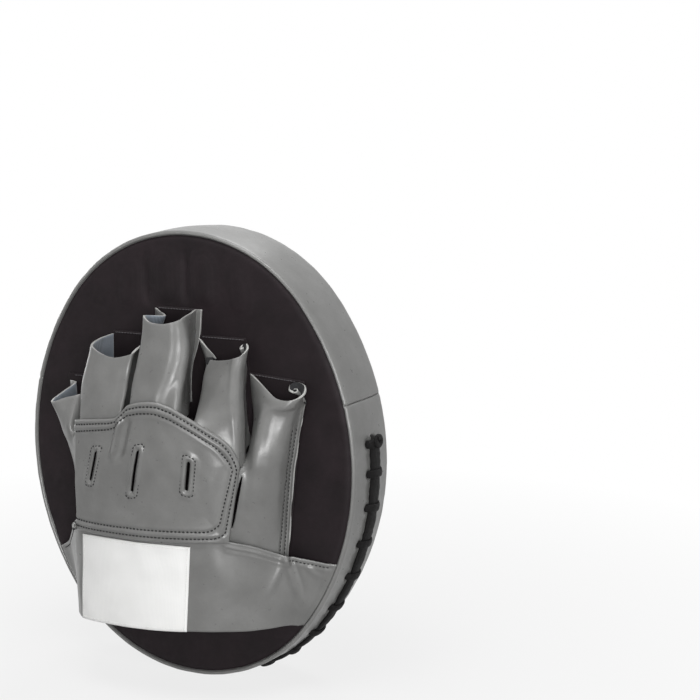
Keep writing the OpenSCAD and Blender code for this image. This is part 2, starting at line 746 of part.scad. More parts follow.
is_vent = function (j, i)
  (i == 4 && (j == 5 || j == 6)) || (i == 9 && j >= 4 && j <= 7) || (i == 15 && (j == 4 || j == 5));

module dorsal_panel() {
  vinyl(place_all([for (v = dorsal_rows) [for (u = dorsal_columns) dorsal_point(u, v)]]), is_vent);
}

// Wrist band

// Half width of the pad inside its face seam, at a height above the pad's middle
function seam_half_width(z) = abs(z) < side_radius * sin(oval_turn)
  ? sqrt(pow(side_radius - face_inset, 2) - pow(z, 2)) - side_centre - 1
  : sqrt(pow(end_radius - face_inset, 2) - pow(abs(z) - end_centre, 2)) - 1;

band_low = -band_drop;
band_high = band_low + band_end_height;
band_end_rise = sheet_thickness + fit_gap;
band_steps = 3;
label_left = dorsal_top_x[0] + 10.5;
label_right = label_left + label_width;

// Edges of the band from rim to rim, over the hand. Where the top edge passes over the hand it lies under
// the dorsal panel.
band_top_edge = [
  [-seam_half_width(band_high - 8), band_end_rise, band_high - 8],
  [lerp(-seam_half_width(band_high - 8), dorsal_top_x[0], 0.33), 14, band_high],
  [lerp(-seam_half_width(band_high - 8), dorsal_top_x[0], 0.68), 29.5, lerp(band_high, -dorsal_drop, 0.5)],
  [dorsal_top_x[0], under_arch(dorsal_top_x[0]), 1.5 - dorsal_drop],
  [label_left, under_arch(label_left), 3 - dorsal_drop],
  for (k = [1:3])
    let (x = lerp(label_left, label_right, k / 4))
    [x, under_arch(x), 4 - dorsal_drop],
  [label_right, under_arch(label_right), 2.5 - dorsal_drop],
  [dorsal_low_x[1] + 3, under_arch(dorsal_low_x[1] + 3), -2 - dorsal_drop],
  [lerp(dorsal_low_x[1], seam_half_width(band_high), 0.28), 21.5, -6 - dorsal_drop],
  [lerp(dorsal_low_x[1], seam_half_width(band_high), 0.52), 9, lerp(-dorsal_drop, band_high, 0.75)],
  [lerp(dorsal_low_x[1], seam_half_width(band_high), 0.76), 3.4, lerp(-dorsal_drop, band_high, 0.9)],
  [seam_half_width(band_high), band_end_rise, band_high]
];
band_low_edge = [
  [-seam_half_width(band_low), band_end_rise, band_low],
  [lerp(-seam_half_width(band_low), dorsal_top_x[0], 0.28), 13, band_low],
  [lerp(-seam_half_width(band_low), dorsal_top_x[0], 0.6), 27, band_low],
  [dorsal_top_x[0] + 1, under_arch(dorsal_top_x[0] + 1), band_low],
  [label_left, arch(label_left) - 1, band_low],
  for (k = [1:3])
    let (x = lerp(label_left, label_right, k / 4))
    [x, arch(x) - 1, band_low + 0.5 * k],
  [label_right, arch(label_right) - 1, band_low + 2],
  [lerp(label_right, seam_half_width(band_low), 0.32), 32.5, band_low + 2],
  [lerp(label_right, seam_half_width(band_low), 0.56), 24.5, band_low + 1.5],
  [lerp(label_right, seam_half_width(band_low), 0.77), 14, band_low + 1],
  [lerp(label_right, seam_half_width(band_low), 0.91), 5.5, band_low + 0.5],
  [seam_half_width(band_low), band_end_rise, band_low]
];
band_rows = 8;
band_grid = place_all(loft([band_top_edge, band_low_edge], band_steps * (len(band_low_edge) - 1), [band_rows]));
band_seat = -half_depth - fit_gap;

module wrist_band() {
  color(grey_vinyl)
    sheet(band_grid, raised(band_grid, -sheet_thickness, band_seat));
}

// The label lies on the band from just below the dorsal panel to the band's lower edge
module label() {
  from = 4 * band_steps;
  to = 8 * band_steps;
  under = raised(band_grid, fit_gap / 2, band_seat);
  over = raised(band_grid, fit_gap / 2 + label_thickness, band_seat);
  patch = function (rows) [for (j = [1:band_rows]) [for (i = [from:to]) rows[j][i]]];
  color(label_white)
    sheet(patch(over), patch(under));
}

// Lining on the back panel, stepped along the mouths of the stalls
module palm_lining() {
  margin = 2;
  hem = 4;
  low = band_high + 6;
  steps = [for (k = [0:4])
    each [
      [foot_lines[k] + (k == 0 ? -margin : 0), stall_mouths[k] + hem],
      [foot_lines[k + 1] + (k == 4 ? margin : 0), stall_mouths[k] + hem]
    ]];
  outline = concat([[little_side(low) - margin, low]], steps, [[thumb_side(low) + margin, low]]);
  color(black_nylon)
    translate([0, -half_depth, middle_z])
      rotate([90, 0, 0])
        linear_extrude(lining_thickness)
          polygon(outline);
}

strike_panel();
target_disc();
back_panel();
gusset_upper();
gusset_lower();
lace();
strike_foam();
shock_foam();
palm_foam();
palm_lining();
little_stall();
ring_stall();
middle_stall();
index_stall();
thumb_stall();
dorsal_panel();
wrist_band();
label();
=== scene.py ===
import math

import bmesh
import bpy
import numpy as np
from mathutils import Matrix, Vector


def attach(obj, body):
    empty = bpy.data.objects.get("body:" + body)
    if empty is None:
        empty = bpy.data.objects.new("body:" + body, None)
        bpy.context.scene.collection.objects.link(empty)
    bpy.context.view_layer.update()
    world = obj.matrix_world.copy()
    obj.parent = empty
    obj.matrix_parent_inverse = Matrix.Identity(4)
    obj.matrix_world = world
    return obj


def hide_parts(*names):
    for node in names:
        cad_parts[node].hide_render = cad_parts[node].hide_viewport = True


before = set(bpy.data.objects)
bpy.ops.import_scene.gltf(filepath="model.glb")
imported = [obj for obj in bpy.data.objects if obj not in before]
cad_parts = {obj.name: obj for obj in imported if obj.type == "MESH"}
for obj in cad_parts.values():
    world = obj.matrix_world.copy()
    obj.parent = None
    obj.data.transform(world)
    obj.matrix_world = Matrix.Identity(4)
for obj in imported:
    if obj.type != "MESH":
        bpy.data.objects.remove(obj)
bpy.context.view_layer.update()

# Lengths are in millimetres in the part's frame, and MM takes them to metres
MM = 0.001
HALF_DEPTH = 21.0
MIDDLE = 126.5
SHEET = 1.2
PATH_POINTS = 240


# Numbers and curves

def lerp(a, b, t):
    return a + (b - a) * t


def ease(low, high, x):
    t = np.clip((x - low) / (high - low), 0, 1)
    return t * t * (3 - 2 * t)


def hump(distance, width):
    return np.exp(-(distance / width) ** 2)


def unit(v):
    return v / (np.linalg.norm(v, axis=-1, keepdims=True) + 1e-12)


def steps(count):
    return np.linspace(0, 1, count)


def joined(*parts):
    return np.stack(parts, axis=-1)


def waves(p, size, seed, count=7):
    """A smooth random field over points, with features of about that size."""
    rng = np.random.default_rng(seed)
    total = 0
    for _ in range(count):
        k = rng.normal(size=p.shape[-1])
        k *= 2 * np.pi / size * rng.uniform(0.7, 1.5) / np.linalg.norm(k)
        total = total + np.cos(p @ k + rng.uniform(0, 2 * np.pi))
    return total / math.sqrt(count)


def ripples(p, seed, *kinds):
    """Waves of several heights and sizes."""
    return sum(height * waves(p, size, seed + k) for k, (height, size) in enumerate(kinds))


def along(points, s):
    """Points at shares s of the smooth curve through a list of points."""
    p = np.asarray(points, float)
    last = len(p) - 1
    at = np.minimum(s * last, last - 1e-9)
    i = np.floor(at).astype(int)
    t = (at - i).reshape(i.shape + (1,) * (p.ndim - 1))
    a, b, c, d = (p[np.clip(i + k, 0, last)] for k in (-1, 0, 1, 2))
    return 0.5 * (2 * b + (c - a) * t + (2 * a - 5 * b + 4 * c - d) * t**2 + (3 * b - a - 3 * c + d) * t**3)


def lofted(sections, weights, rows, columns):
    """A grid through sections of points, smooth both ways. The weights share out the rows."""
    u = steps(columns)
    knots = np.concatenate([[0], np.cumsum(weights)]) / sum(weights)
    lines = np.array([along(s, u) for s in sections])
    v = steps(rows)
    k = np.clip(np.searchsorted(knots, v, side="right") - 1, 0, len(knots) - 2)
    share = (v - knots[k]) / (knots[k + 1] - knots[k])
    return along(lines, (k + share) / (len(sections) - 1))


def resampled(points, step):
    """Points spaced evenly along a path, with a whole number of steps."""
    p = np.asarray(points, float)
    run = np.concatenate([[0], np.cumsum(np.linalg.norm(np.diff(p, axis=0), axis=1))])
    count = max(2, int(round(run[-1] / step)) + 1)
    at = np.linspace(0, run[-1], count)
    return joined(*(np.interp(at, run, column) for column in p.T))


class Grid:
    """A sheet as rows and columns of points, facing the way that rows turned onto columns face."""

    def __init__(self, p):
        self.p = np.array(p, float)

    def normals(self):
        return unit(np.cross(np.gradient(self.p, axis=0), np.gradient(self.p, axis=1)))

    def push(self, distance):
        self.p = self.p + distance[..., None] * self.normals()

    def shares(self):
        m, n = self.p.shape[:2]
        return np.meshgrid(steps(m), steps(n), indexing="ij")

    def at(self, v, u):
        """Points and normals at shares of the rows and columns."""
        m, n = self.p.shape[:2]
        v, u = np.clip(v, 0, 1) * (m - 1), np.clip(u, 0, 1) * (n - 1)
        j, i = np.minimum(v.astype(int), m - 2), np.minimum(u.astype(int), n - 2)
        a, b = (v - j)[:, None], (u - i)[:, None]
        return [lerp(lerp(f[j, i], f[j, i + 1], b), lerp(f[j + 1, i], f[j + 1, i + 1], b), a)
                for f in (self.p, self.normals())]

    def from_edge(self, *sides):
        """Distances of every point from the nearest of some edges, along its row or column."""
        down = np.cumsum(np.linalg.norm(np.diff(self.p, axis=0), axis=2), axis=0)
        across = np.cumsum(np.linalg.norm(np.diff(self.p, axis=1), axis=2), axis=1)
        down, across = np.pad(down, ((1, 0), (0, 0))), np.pad(across, ((0, 0), (1, 0)))
        runs = {"top": down, "low": down[-1:] - down, "left": across, "right": across[:, -1:] - across}
        return np.minimum.reduce([runs[side] for side in sides])

    def inset(self, side, distance, a=0.0, b=1.0):
        """A path that runs at a distance in from one edge, between two shares of that edge."""
        upright, turned = side in ("top", "low"), side in ("low", "right")
        run = self.from_edge(side)
        run = run.T if upright else run
        edge = np.linspace(a, b, PATH_POINTS)
        lines = run[np.round(edge * (len(run) - 1)).astype(int)]
        share = steps(run.shape[1])
        if turned:
            lines, share = lines[:, ::-1], share[::-1]
        inward = np.array([np.interp(distance, line, share) for line in lines])
        return joined(inward, edge) if upright else joined(edge, inward)

    def near(self, path, step=0.8, chunk=48):
        """Distance of every point from a path given in shares of rows and columns."""
        line = resampled(self.at(*path.T)[0], step)
        flat = self.p.reshape(-1, 3)
        best = np.full(len(flat), 1e9)
        for k in range(0, len(line), chunk):
            d = np.linalg.norm(flat[:, None] - line[None, k:k + chunk], axis=2).min(axis=1)
            best = np.minimum(best, d)
        return best.reshape(self.p.shape[:2])

    def groove(self, paths, depth, width, swell):
        """Pulls the sheet in along seams, so that it swells on both sides of them."""
        for path in paths:
            d = self.near(path)
            self.push(swell * hump(d - 2.2 * width, 1.4 * width) - depth * hump(d, width))


# Materials

def tone(value, times=1.0):
    """A written sRGB colour, made lighter or darker, as a linear one."""
    value = [min(1, v * times) for v in value]
    out = [v / 12.92 if v <= 0.04045 else ((v + 0.055) / 1.055) ** 2.4 for v in value]
    return (*out, 1.0)


class Nodes:
    """The nodes of a material or of the world. Inputs are values or the outputs of other nodes."""

    def __init__(self, name, kind="materials"):
        self.block = getattr(bpy.data, kind).new(name)
        self.block.use_nodes = True
        self.tree = self.block.node_tree

    def feed(self, socket, value):
        if isinstance(value, bpy.types.NodeSocket):
            self.tree.links.new(value, socket)
        else:
            socket.default_value = value

    def add(self, kind, *first, **named):
        """A node, with its first inputs in order and its settings and other inputs by name."""
        node = self.tree.nodes.new(kind)
        for key, value in named.items():
            if hasattr(node, key):
                setattr(node, key, value)
            else:
                self.feed(node.inputs[key], value)
        for socket, value in zip(node.inputs, first):
            self.feed(socket, value)
        return node

    @property
    def place(self):
        return self.add("ShaderNodeTexCoord").outputs["Object"]

    def texture(self, kind, out, **named):
        return self.add("ShaderNodeTex" + kind, Vector=self.place, **named).outputs[out]

    def noise(self, scale, detail, roughness=0.55):
        return self.texture("Noise", "Fac", Scale=scale, Detail=detail, Roughness=roughness)

    def cloud(self, scale, detail, low, high):
        """Noise that runs between two values."""
        return self.spread(self.noise(scale, detail), 0.3, 0.7, low, high)

    def bands(self, axis, period, distortion=0.0):
        scale = 2 * math.pi / (20 * period * MM)
        return self.texture(
            "Wave", "Fac", wave_type="BANDS", bands_direction=axis, Scale=scale, Distortion=distortion)

    def math(self, operation, a, b):
        return self.add("ShaderNodeMath", a, b, operation=operation).outputs[0]

    def spread(self, value, low, high, to_low, to_high):
        return self.add("ShaderNodeMapRange", value, low, high, to_low, to_high).outputs["Result"]

    def mix(self, share, a, b):
        node = self.add("ShaderNodeMix", share, data_type="RGBA")
        self.feed(node.inputs[6], a)
        self.feed(node.inputs[7], b)
        return node.outputs[2]

    def worn_and_shaded(self, color, rubbed, pale, painted_shade, dark):
        """A colour that gets paler where the mesh's wear-and-shade value is above 0, for rubbed wear, and darker
        where it is below, as painted shade.
        """
        wear = self.add("ShaderNodeAttribute", attribute_name="wear").outputs["Fac"]
        color = self.mix(self.spread(wear, 0, 1, 0, rubbed), color, pale)
        return self.mix(self.spread(wear, 0, -1, 0, painted_shade), color, dark)

    def bump(self, height, strength, distance, after=None):
        node = self.add("ShaderNodeBump", Height=height, Strength=strength, Distance=distance * MM)
        if after is not None:
            self.feed(node.inputs["Normal"], after)
        return node.outputs["Normal"]

    def surface(self, color, rough, normal, gloss, sheen=0.0):
        shader = self.tree.nodes["Principled BSDF"]
        for key, value in (
            ("Base Color", color), ("Roughness", rough), ("Normal", normal), ("Specular IOR Level", gloss),
            ("Sheen Weight", sheen), ("Sheen Roughness", 0.5),
        ):
            self.feed(shader.inputs[key], value)
        return self.block

    def shown(self):
        """1 for rays from the camera, off a gloss or through glass: these see a white background."""
        rays = self.add("ShaderNodeLightPath").outputs
        seen = rays["Is Camera Ray"]
        for key in ("Is Glossy Ray", "Is Transmission Ray"):
            seen = self.math("MAXIMUM", seen, rays[key])
        return seen

    def output(self, name, share, a, b):
        """Gives out a mix of two shaders."""
        mixed = self.add("ShaderNodeMixShader", share, a, b).outputs[0]
        self.feed(self.tree.nodes[name].inputs["Surface"], mixed)


def vinyl(name, pale, dark, rough):
    n = Nodes(name)
    color = n.mix(n.cloud(60, 5, 0, 1), tone(dark), tone(pale))
    color = n.mix(n.cloud(700, 3, 0, 0.12), color, tone(dark, 0.85))
    color = n.worn_and_shaded(color, 0.8, tone(pale, 1.25), 0.75, tone(dark, 0.45))
    normal = n.bump(n.noise(1100, 3, 0.5), 0.1, 0.2)
    normal = n.bump(n.noise(190, 4), 0.08, 0.8, normal)
    return n.surface(color, n.cloud(300, 4, rough - 0.04, rough + 0.06), normal, 0.5)


def woven(name, pale, dark, period, rough, depth, sheen=0.0, crease=0.0, gloss=0.3):
    n = Nodes(name)
    weft, warp, across = (n.bands(axis, period) for axis in "XZY")
    cloth = n.math("MAXIMUM", n.math("MULTIPLY", weft, warp), n.math("MULTIPLY", weft, across))
    weave = n.math("ADD", n.math("MULTIPLY", n.noise(55, 5), 0.75), n.math("MULTIPLY", cloth, 0.25))
    color = n.mix(n.spread(weave, 0.28, 0.72, 0, 1), tone(dark), tone(pale))
    color = n.worn_and_shaded(color, 0.7, tone(pale, 1.35), 0.7, tone(dark, 0.4))
    normal = n.bump(cloth, 0.4, depth)
    normal = n.bump(n.noise(120, 4), 0.25 + crease, 0.6, normal)
    return n.surface(color, n.cloud(240, 3, rough - 0.07, rough + 0.07), normal, gloss, sheen)


def foam(name, pale, dark, cell):
    n = Nodes(name)
    pores = n.texture("Voronoi", "Distance", Scale=1000 / cell)
    color = n.mix(n.spread(pores, 0.1, 0.6, 0, 1), tone(dark), tone(pale))
    color = n.mix(n.spread(n.noise(40, 4), 0.35, 0.7, 0, 0.5), color, tone(pale, 0.86))
    normal = n.bump(pores, 0.6, 0.5)
    normal = n.bump(n.noise(400, 4), 0.3, 0.4, normal)
    return n.surface(color, n.cloud(200, 3, 0.85, 0.97), normal, 0.2)


def corded(name, pale, dark, rough):
    n = Nodes(name)
    twist = n.math("ADD", n.bands("DIAGONAL", 0.55, 1.5), n.noise(1400, 3))
    color = n.mix(n.spread(twist, 0.5, 1.5, 0, 1), tone(dark), tone(pale))
    color = n.worn_and_shaded(color, 0, tone(pale), 0.6, tone(dark, 0.5))
    normal = n.bump(twist, 0.6, 0.25)
    return n.surface(color, n.cloud(600, 3, rough - 0.1, rough + 0.08), normal, 0.2)


M = {
    "vinyl": vinyl("grey_vinyl", (0.445, 0.445, 0.44), (0.395, 0.395, 0.39), 0.31),
    "backing": woven("vinyl_backing", (0.52, 0.55, 0.585), (0.4, 0.43, 0.465), 0.8, 0.85, 0.25, 0.2),
    "dark_backing": woven("black_backing", (0.1, 0.1, 0.11), (0.05, 0.05, 0.055), 0.8, 0.85, 0.25, 0.1),
    "edge": vinyl("vinyl_cut_edge", (0.62, 0.62, 0.61), (0.52, 0.52, 0.515), 0.55),
    "nylon": woven(
        "black_nylon", (0.14, 0.112, 0.124), (0.09, 0.072, 0.08), 0.5, 0.6, 0.08, 0.0, 0.05, 0.15),
    "lining": woven(
        "palm_lining_cloth", (0.13, 0.105, 0.115), (0.085, 0.068, 0.075), 0.5, 0.65, 0.08, 0.0, 0.05, 0.15),
    "lace": corded("black_lace", (0.055, 0.049, 0.051), (0.022, 0.019, 0.02), 0.75),
    "thread": corded("dark_thread", (0.2, 0.2, 0.2), (0.11, 0.11, 0.11), 0.55),
    "pale_thread": corded("pale_thread", (0.36, 0.35, 0.36), (0.27, 0.26, 0.27), 0.6),
    "white_thread": corded("white_thread", (0.93, 0.93, 0.92), (0.84, 0.84, 0.83), 0.6),
    "target": vinyl("target_grey", (0.37, 0.4, 0.385), (0.32, 0.35, 0.335), 0.5),
    "label": woven("label_white", (0.92, 0.92, 0.915), (0.89, 0.89, 0.885), 0.4, 0.5, 0.03),
    "dense": foam("dense_foam", (0.3, 0.3, 0.32), (0.2, 0.2, 0.22), 0.9),
    "soft": foam("soft_foam", (0.86, 0.84, 0.76), (0.7, 0.67, 0.58), 1.6),
}


# Meshes

def mesh_object(name, points, faces, materials, wear=0.0, merge=False):
    """A smooth piece that rides on the part's body. Merging closes seams where points meet."""
    mesh = bpy.data.meshes.new(name)
    mesh.from_pydata((np.asarray(points) * MM).tolist(), [], faces)
    for m in materials:
        mesh.materials.append(M[m])
    mesh.polygons.foreach_set("use_smooth", np.ones(len(mesh.polygons), bool))
    # Per-point values: above 0 paler for rubbed wear, below 0 darker as painted shade
    layer = mesh.attributes.new("wear", "FLOAT", "POINT")
    layer.data.foreach_set("value", np.broadcast_to(wear, len(points)).astype(np.float32))
    mesh.update()
    if merge:
        b = bmesh.new()
        b.from_mesh(mesh)
        bmesh.ops.remove_doubles(b, verts=b.verts, dist=2e-6)
        b.to_mesh(mesh)
        b.free()
    obj = bpy.data.objects.new(name, mesh)
    bpy.context.collection.objects.link(obj)
    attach(obj, "root")
    return obj


def quads(m, n, keep=None):
    """Faces of a grid of m rows and n columns of points, on the side that the grid faces."""
    j, i = np.meshgrid(np.arange(m - 1), np.arange(n - 1), indexing="ij")
    a = j * n + i
    f = joined(a, a + n, a + n + 1, a + 1).reshape(-1, 4)
    return f if keep is None else f[keep.reshape(-1)]


def tube_faces(rings, sides, base=0):
    """Faces of a tube with closed ends, from rings of points."""
    faces = []
    for k in range(base, base + (rings - 1) * sides, sides):
        for q in range(sides):
            a, b = k + q, k + (q + 1) % sides
            faces.append([a, b, b + sides, a + sides])
    last = base + (rings - 1) * sides
    return faces + [list(range(base, base + sides))[::-1], list(range(last, last + sides))]


def slit_half(row, first, last, width):
    """Half of a slit's width at a row."""
    share = np.clip(2 * (row - first) / (last - first) - 1, -1, 1)
    return width / 2 * np.sqrt(1 - share**4)


def sheet_object(name, grid, materials, thickness=SHEET, wear=0.0, keep=None, slits=(), merge=False):
    """A sheet with an outside, a back and cut edges. A slit parts it: a column, two rows and a width."""
    m, n = grid.p.shape[:2]
    points = grid.p.reshape(-1, 3).copy()
    shade = np.broadcast_to(wear, (m, n)).reshape(-1)
    faces = quads(m, n, keep).tolist()
    right = unit(np.gradient(grid.p, axis=1))
    extra_p, extra_w = [], []
    for column, first, last, width in slits:
        twin = {}
        for j in range(first + 1, last):
            half = slit_half(j, first, last, width) * right[j, column]
            k = j * n + column
            twin[k] = m * n + len(extra_p)
            extra_p.append(points[k] + half)
            extra_w.append(shade[k])
            points[k] = points[k] - half
        for k in range(first * (n - 1) + column, last * (n - 1) + column, n - 1):
            faces[k] = [twin.get(q, q) for q in faces[k]]
    if extra_p:
        points = np.vstack([points, extra_p])
        shade = np.concatenate([shade, extra_w])
    obj = mesh_object(name, points, faces, materials, shade, merge)
    solid = obj.modifiers.new("thickness", "SOLIDIFY")
    solid.thickness = thickness * MM
    solid.offset = -1
    solid.use_rim = True
    solid.material_offset = 1
    solid.material_offset_rim = 2
    return obj


def sheet_piece(name, grid, materials, node, slot, held, rests_on, threads=(), **options):
    """A sheet that stands in for a node of the part, and hides that node. The stitches that hold it are passed in
    but not used.
    """
    obj = sheet_object(name, grid, materials, **options)
    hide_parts(node)
    flat = grid.from_edge("left").max() * MM, grid.from_edge("top").max() * MM


def stitches(name, grid, paths, material, spacing, length, radius, lift, seed):
    """Sewn stitches along paths on a grid."""
    rng = np.random.default_rng(seed)
    points, faces = [], []
    rings = (-1, 0.3), (-0.8, 0.75), (-0.35, 1), (0.35, 1), (0.8, 0.75), (1, 0.3)
    turns = [2 * math.pi * q / 6 for q in range(6)]
    for path in paths:
        both = resampled(np.hstack(grid.at(*path.T)), spacing / 2)
        for k in range(1, len(both) - 1, 2):
            middle, normal = both[k, :3], unit(both[k, 3:])
            ahead = unit(both[k + 1, :3] - both[k - 1, :3])
            side = np.cross(normal, ahead)
            ahead = ahead + side * rng.normal(0, 0.05)
            half = length / 2 * rng.uniform(0.92, 1.06)
            faces += tube_faces(len(rings), len(turns), len(points))
            for at, girth in rings:
                c = middle + ahead * half * at + normal * (lift * (1 - 1.9 * at * at) + 0.05)
                points += [c + radius * girth * (math.cos(a) * side + 0.8 * math.sin(a) * normal) for a in turns]
    obj = mesh_object(name, points, faces, [material])
    return obj


# The oval of the pad, drawn with four arcs

SIDE_C, END_C, SIDE_R, END_R = 44.0, 33.0, 149.0, 94.0
TURN = math.atan2(3, 4)
SIDE_L = SIDE_R * TURN
END_L = END_R * (math.pi - 2 * TURN)
ROUND = 4 * SIDE_L + 2 * END_L


def oval_angle(s):
    """The angle that the rim faces at a distance round it, from the thumb side's middle and up."""
    marks = np.cumsum([0, SIDE_L, END_L, 2 * SIDE_L, END_L, SIDE_L])
    angles = [0, TURN, math.pi - TURN, math.pi + TURN, 2 * math.pi - TURN, 2 * math.pi]
    return np.interp(np.mod(s, ROUND), marks, angles)


def on_oval(s, inset, y, share=1.0):
    """Points at distances round the oval and in from its edge, or at a share of the way out to there."""
    a = oval_angle(s)
    side = abs(np.cos(a)) >= math.cos(TURN) - 1e-9
    x = np.where(side, -SIDE_C * np.sign(np.cos(a)), 0)
    z = np.where(side, 0, END_C * np.sign(np.sin(a)))
    r = np.where(side, SIDE_R, END_R) - inset
    x, z = share * (x + r * np.cos(a)), share * (z + r * np.sin(a))
    return joined(x, np.broadcast_to(y, x.shape), MIDDLE + z)


def oval_grid(s, profile):
    """A surface round the oval, from rows of: share of the way out, distance in from the edge and y."""
    return Grid([on_oval(s, inset, y, share) for share, inset, y in profile])


# Rim

LACE_START, LACE_PITCH, LACE_COUNT, LACE_MARGIN, LACE_ROW = 13.0, 19.5, 9, 9.5, 6.5
LACE_LAST = (LACE_COUNT - 1) * LACE_PITCH - LACE_START
LACE_MOVES = (-1.5, -4.5, -5.0, -3.4, -2.6, -0.5, 0, 0, 0)
CROSSINGS = [k * LACE_PITCH - LACE_START + d for k, d in enumerate(LACE_MOVES)]
SLIT, SLIT_HALF = 1.0, 1.2
JOINT = SIDE_R * math.asin(38.0 / SIDE_R)
JOINT_GAP = 0.03
ROLL, WALL = 1.8, 19.2

turns = np.radians(np.linspace(0, 90, 9))
shoulder = [(7.3, 17.9), (3.6, 18.7), (2.4, 20.1)]
shoulder += [(ROLL - ROLL * math.sin(t), WALL + ROLL * math.cos(t)) for t in turns]
section = shoulder + [(0, y) for y in np.linspace(WALL, SLIT + SLIT_HALF, 12)[1:]]
SLIT_COLUMN = len(section) - 1
section += [(0, y) for y in np.linspace(SLIT - SLIT_HALF, -WALL, 14)[:-1]]
section = np.array(section + [(inset, -y) for inset, y in shoulder[::-1]])


def rim_grid(first, last, seed, laced):
    s = np.linspace(first, last, int((last - first) / 1.3))
    inset = np.tile(section[:, 0], (len(s), 1))
    y = np.tile(section[:, 1], (len(s), 1))
    wall = np.clip(1 - abs(y) / WALL, 0, 1)
    inset = inset - 0.7 * np.sin(np.pi / 2 * wall) ** 1.2
    s = np.tile(s[:, None], (1, len(section)))
    flat = joined(s, y)
    rolled = hump(abs(y) - 20, 3.5) * ease(3.2, 2.0, inset)
    pucker = 0.03 * waves(flat * [1, 0.3], 8.0, seed) + 0.05 * waves(flat * [1, 0.2], 18.0, seed + 1)
    inset = inset + pucker * rolled
    broad = 0.15 * waves(flat, 60.0, seed + 2) * ease(21, 12, abs(y))
    inset = inset + broad + 0.02 * waves(flat, 15.0, seed + 3) * ease(3.2, 2.0, inset)
    ends = np.minimum(s - first, last - s)
    inset = inset + 0.25 * hump(ends, 0.6) - 0.1 * hump(ends - 2.6, 1.4)
    # Paler on the rolled shoulders for rubbed wear. Darker as painted shade in the creases at the joints between
    # the halves, and where the shoulder turns in under the faces
    wear = 0.25 * hump(abs(y) - 20, 1.6) - 0.15 * hump(ends, 0.6) - 0.9 * ease(2.1, 2.6, inset)
    keep = None
    if laced:
        down = ROUND - s
        inside = (down > CROSSINGS[0] - 4.0) & (down < LACE_LAST + LACE_MARGIN)
        slit = abs(y - SLIT)
        inset = inset + inside * (1.5 * hump(slit - SLIT_HALF, 0.7) - 0.5 * hump(slit - 3.0, 1.2))
        # Painted shade darkens the vinyl along the slit's edges, and below round each lace hole
        wear = wear - 0.8 * inside * hump(slit - SLIT_HALF, 1.0)
        for at in CROSSINGS:
            for side in (-1, 1):
                d = np.hypot(down - at, y - SLIT - side * LACE_ROW)
                inset = inset + 1.3 * hump(d, 2.0) - 0.3 * hump(d - 3.6, 1.4)
                wear = wear - 0.8 * hump(d, 2.1)
        keep = np.ones((len(s) - 1, len(section) - 1), bool)
        keep[:, SLIT_COLUMN] = ~(inside[:-1, SLIT_COLUMN] & inside[1:, SLIT_COLUMN])
    grid = Grid(on_oval(s, inset, y))
    grid.p[..., 2] = np.maximum(grid.p[..., 2], 0.0)
    return grid, wear, keep


for name, first, last, seed, laced in (
    ("upper", JOINT + JOINT_GAP, ROUND / 2 - JOINT - JOINT_GAP, 3, False),
    ("lower", ROUND / 2 - JOINT + JOINT_GAP, ROUND + JOINT - JOINT_GAP, 11, True),
):
    grid, wear, keep = rim_grid(first, last, seed, laced)
    sheet_piece(
        "rim_" + name, grid, ["vinyl", "backing", "vinyl"], "gusset_" + name, "grey_vinyl",
        "stretched", ["strike_foam", "palm_foam"], wear=wear, keep=keep)


# Faces of the pad

CLOTH_THICK = 1.3
CROWN, CROWN_WIDTH = 2.0, 28.0
RING = np.linspace(0, ROUND, 490)
SHARES = np.concatenate([np.ones(9), np.linspace(0.93, 0.0, 30)])
INSETS = np.concatenate([[2.5, 2.8, 3.4, 4.6, 6.4, 9.0, 12.5, 16.5, 20.5], np.full(30, 20.5)])


def face_grid(sign, crown, seed):
    """One face of the pad, with small folds that run in from its seam. Sign 1 is the strike side."""
    inward = np.where(SHARES < 1, (1 - SHARES) * 90 + 14.2, INSETS - 6.3)
    sink = 1.3 * hump(INSETS - 2.5, 1.2) * (SHARES == 1)
    y = HALF_DEPTH + crown * np.sin(np.pi / 2 * np.clip(inward / CROWN_WIDTH, 0, 1)) - sink
    grid = oval_grid(RING[::sign], zip(SHARES, INSETS, sign * y))
    edge = grid.p[:1, :, [0, 2]]
    fold = ripples(edge, seed, (0.2, 9.0), (0.25, 21.0))
    from_seam = np.where(SHARES < 1, 99, INSETS)[:, None]
    grid.push(0.6 * fold * hump(from_seam - 8.5, 3.5))
    x, z = grid.p[..., 0], grid.p[..., 2] - MIDDLE
    return grid, x, z, joined(x, z)


def cloth_face(side, grid, rests_on):
    sheet_piece(
        side + "_face", grid, ["nylon", "dark_backing", "nylon"], side + "_panel", "black_nylon", "stretched",
        [rests_on], thickness=CLOTH_THICK, merge=True)


strike, x, z, flat = face_grid(1, CROWN, 21)
free = ease(33, 44, np.hypot(x, z))
strike.push(free * ripples(flat, 22, (0.22, 60), (0.1, 24)))
cloth_face("strike", strike, "strike_foam")

back, x, z, flat = face_grid(-1, 0.0, 31)
upper = ease(86, 92, z + 0.12 * abs(x)) * ease(121, 108, np.hypot(x * 1.2, z))
folds = 0
for at, lean, width, size in (
    (-37, 0.05, 6.0, 1.3), (-24, -0.02, 2.6, -1.5), (-12, -0.03, 6.5, 1.7), (1, 0.02, 2.4, -1.5),
    (14, -0.04, 6.5, 1.6), (36, -0.1, 7.0, 1.0), (-55, 0.1, 6.0, 0.7),
):
    folds = folds + size * hump(x - at - lean * (z - 90), width)
sides = ease(78, 84, abs(x)) * ease(98, 90, abs(x))
back.push(upper * folds + 0.25 * sides * waves(flat, 34, 33))
cloth_face("back", back, "palm_foam")

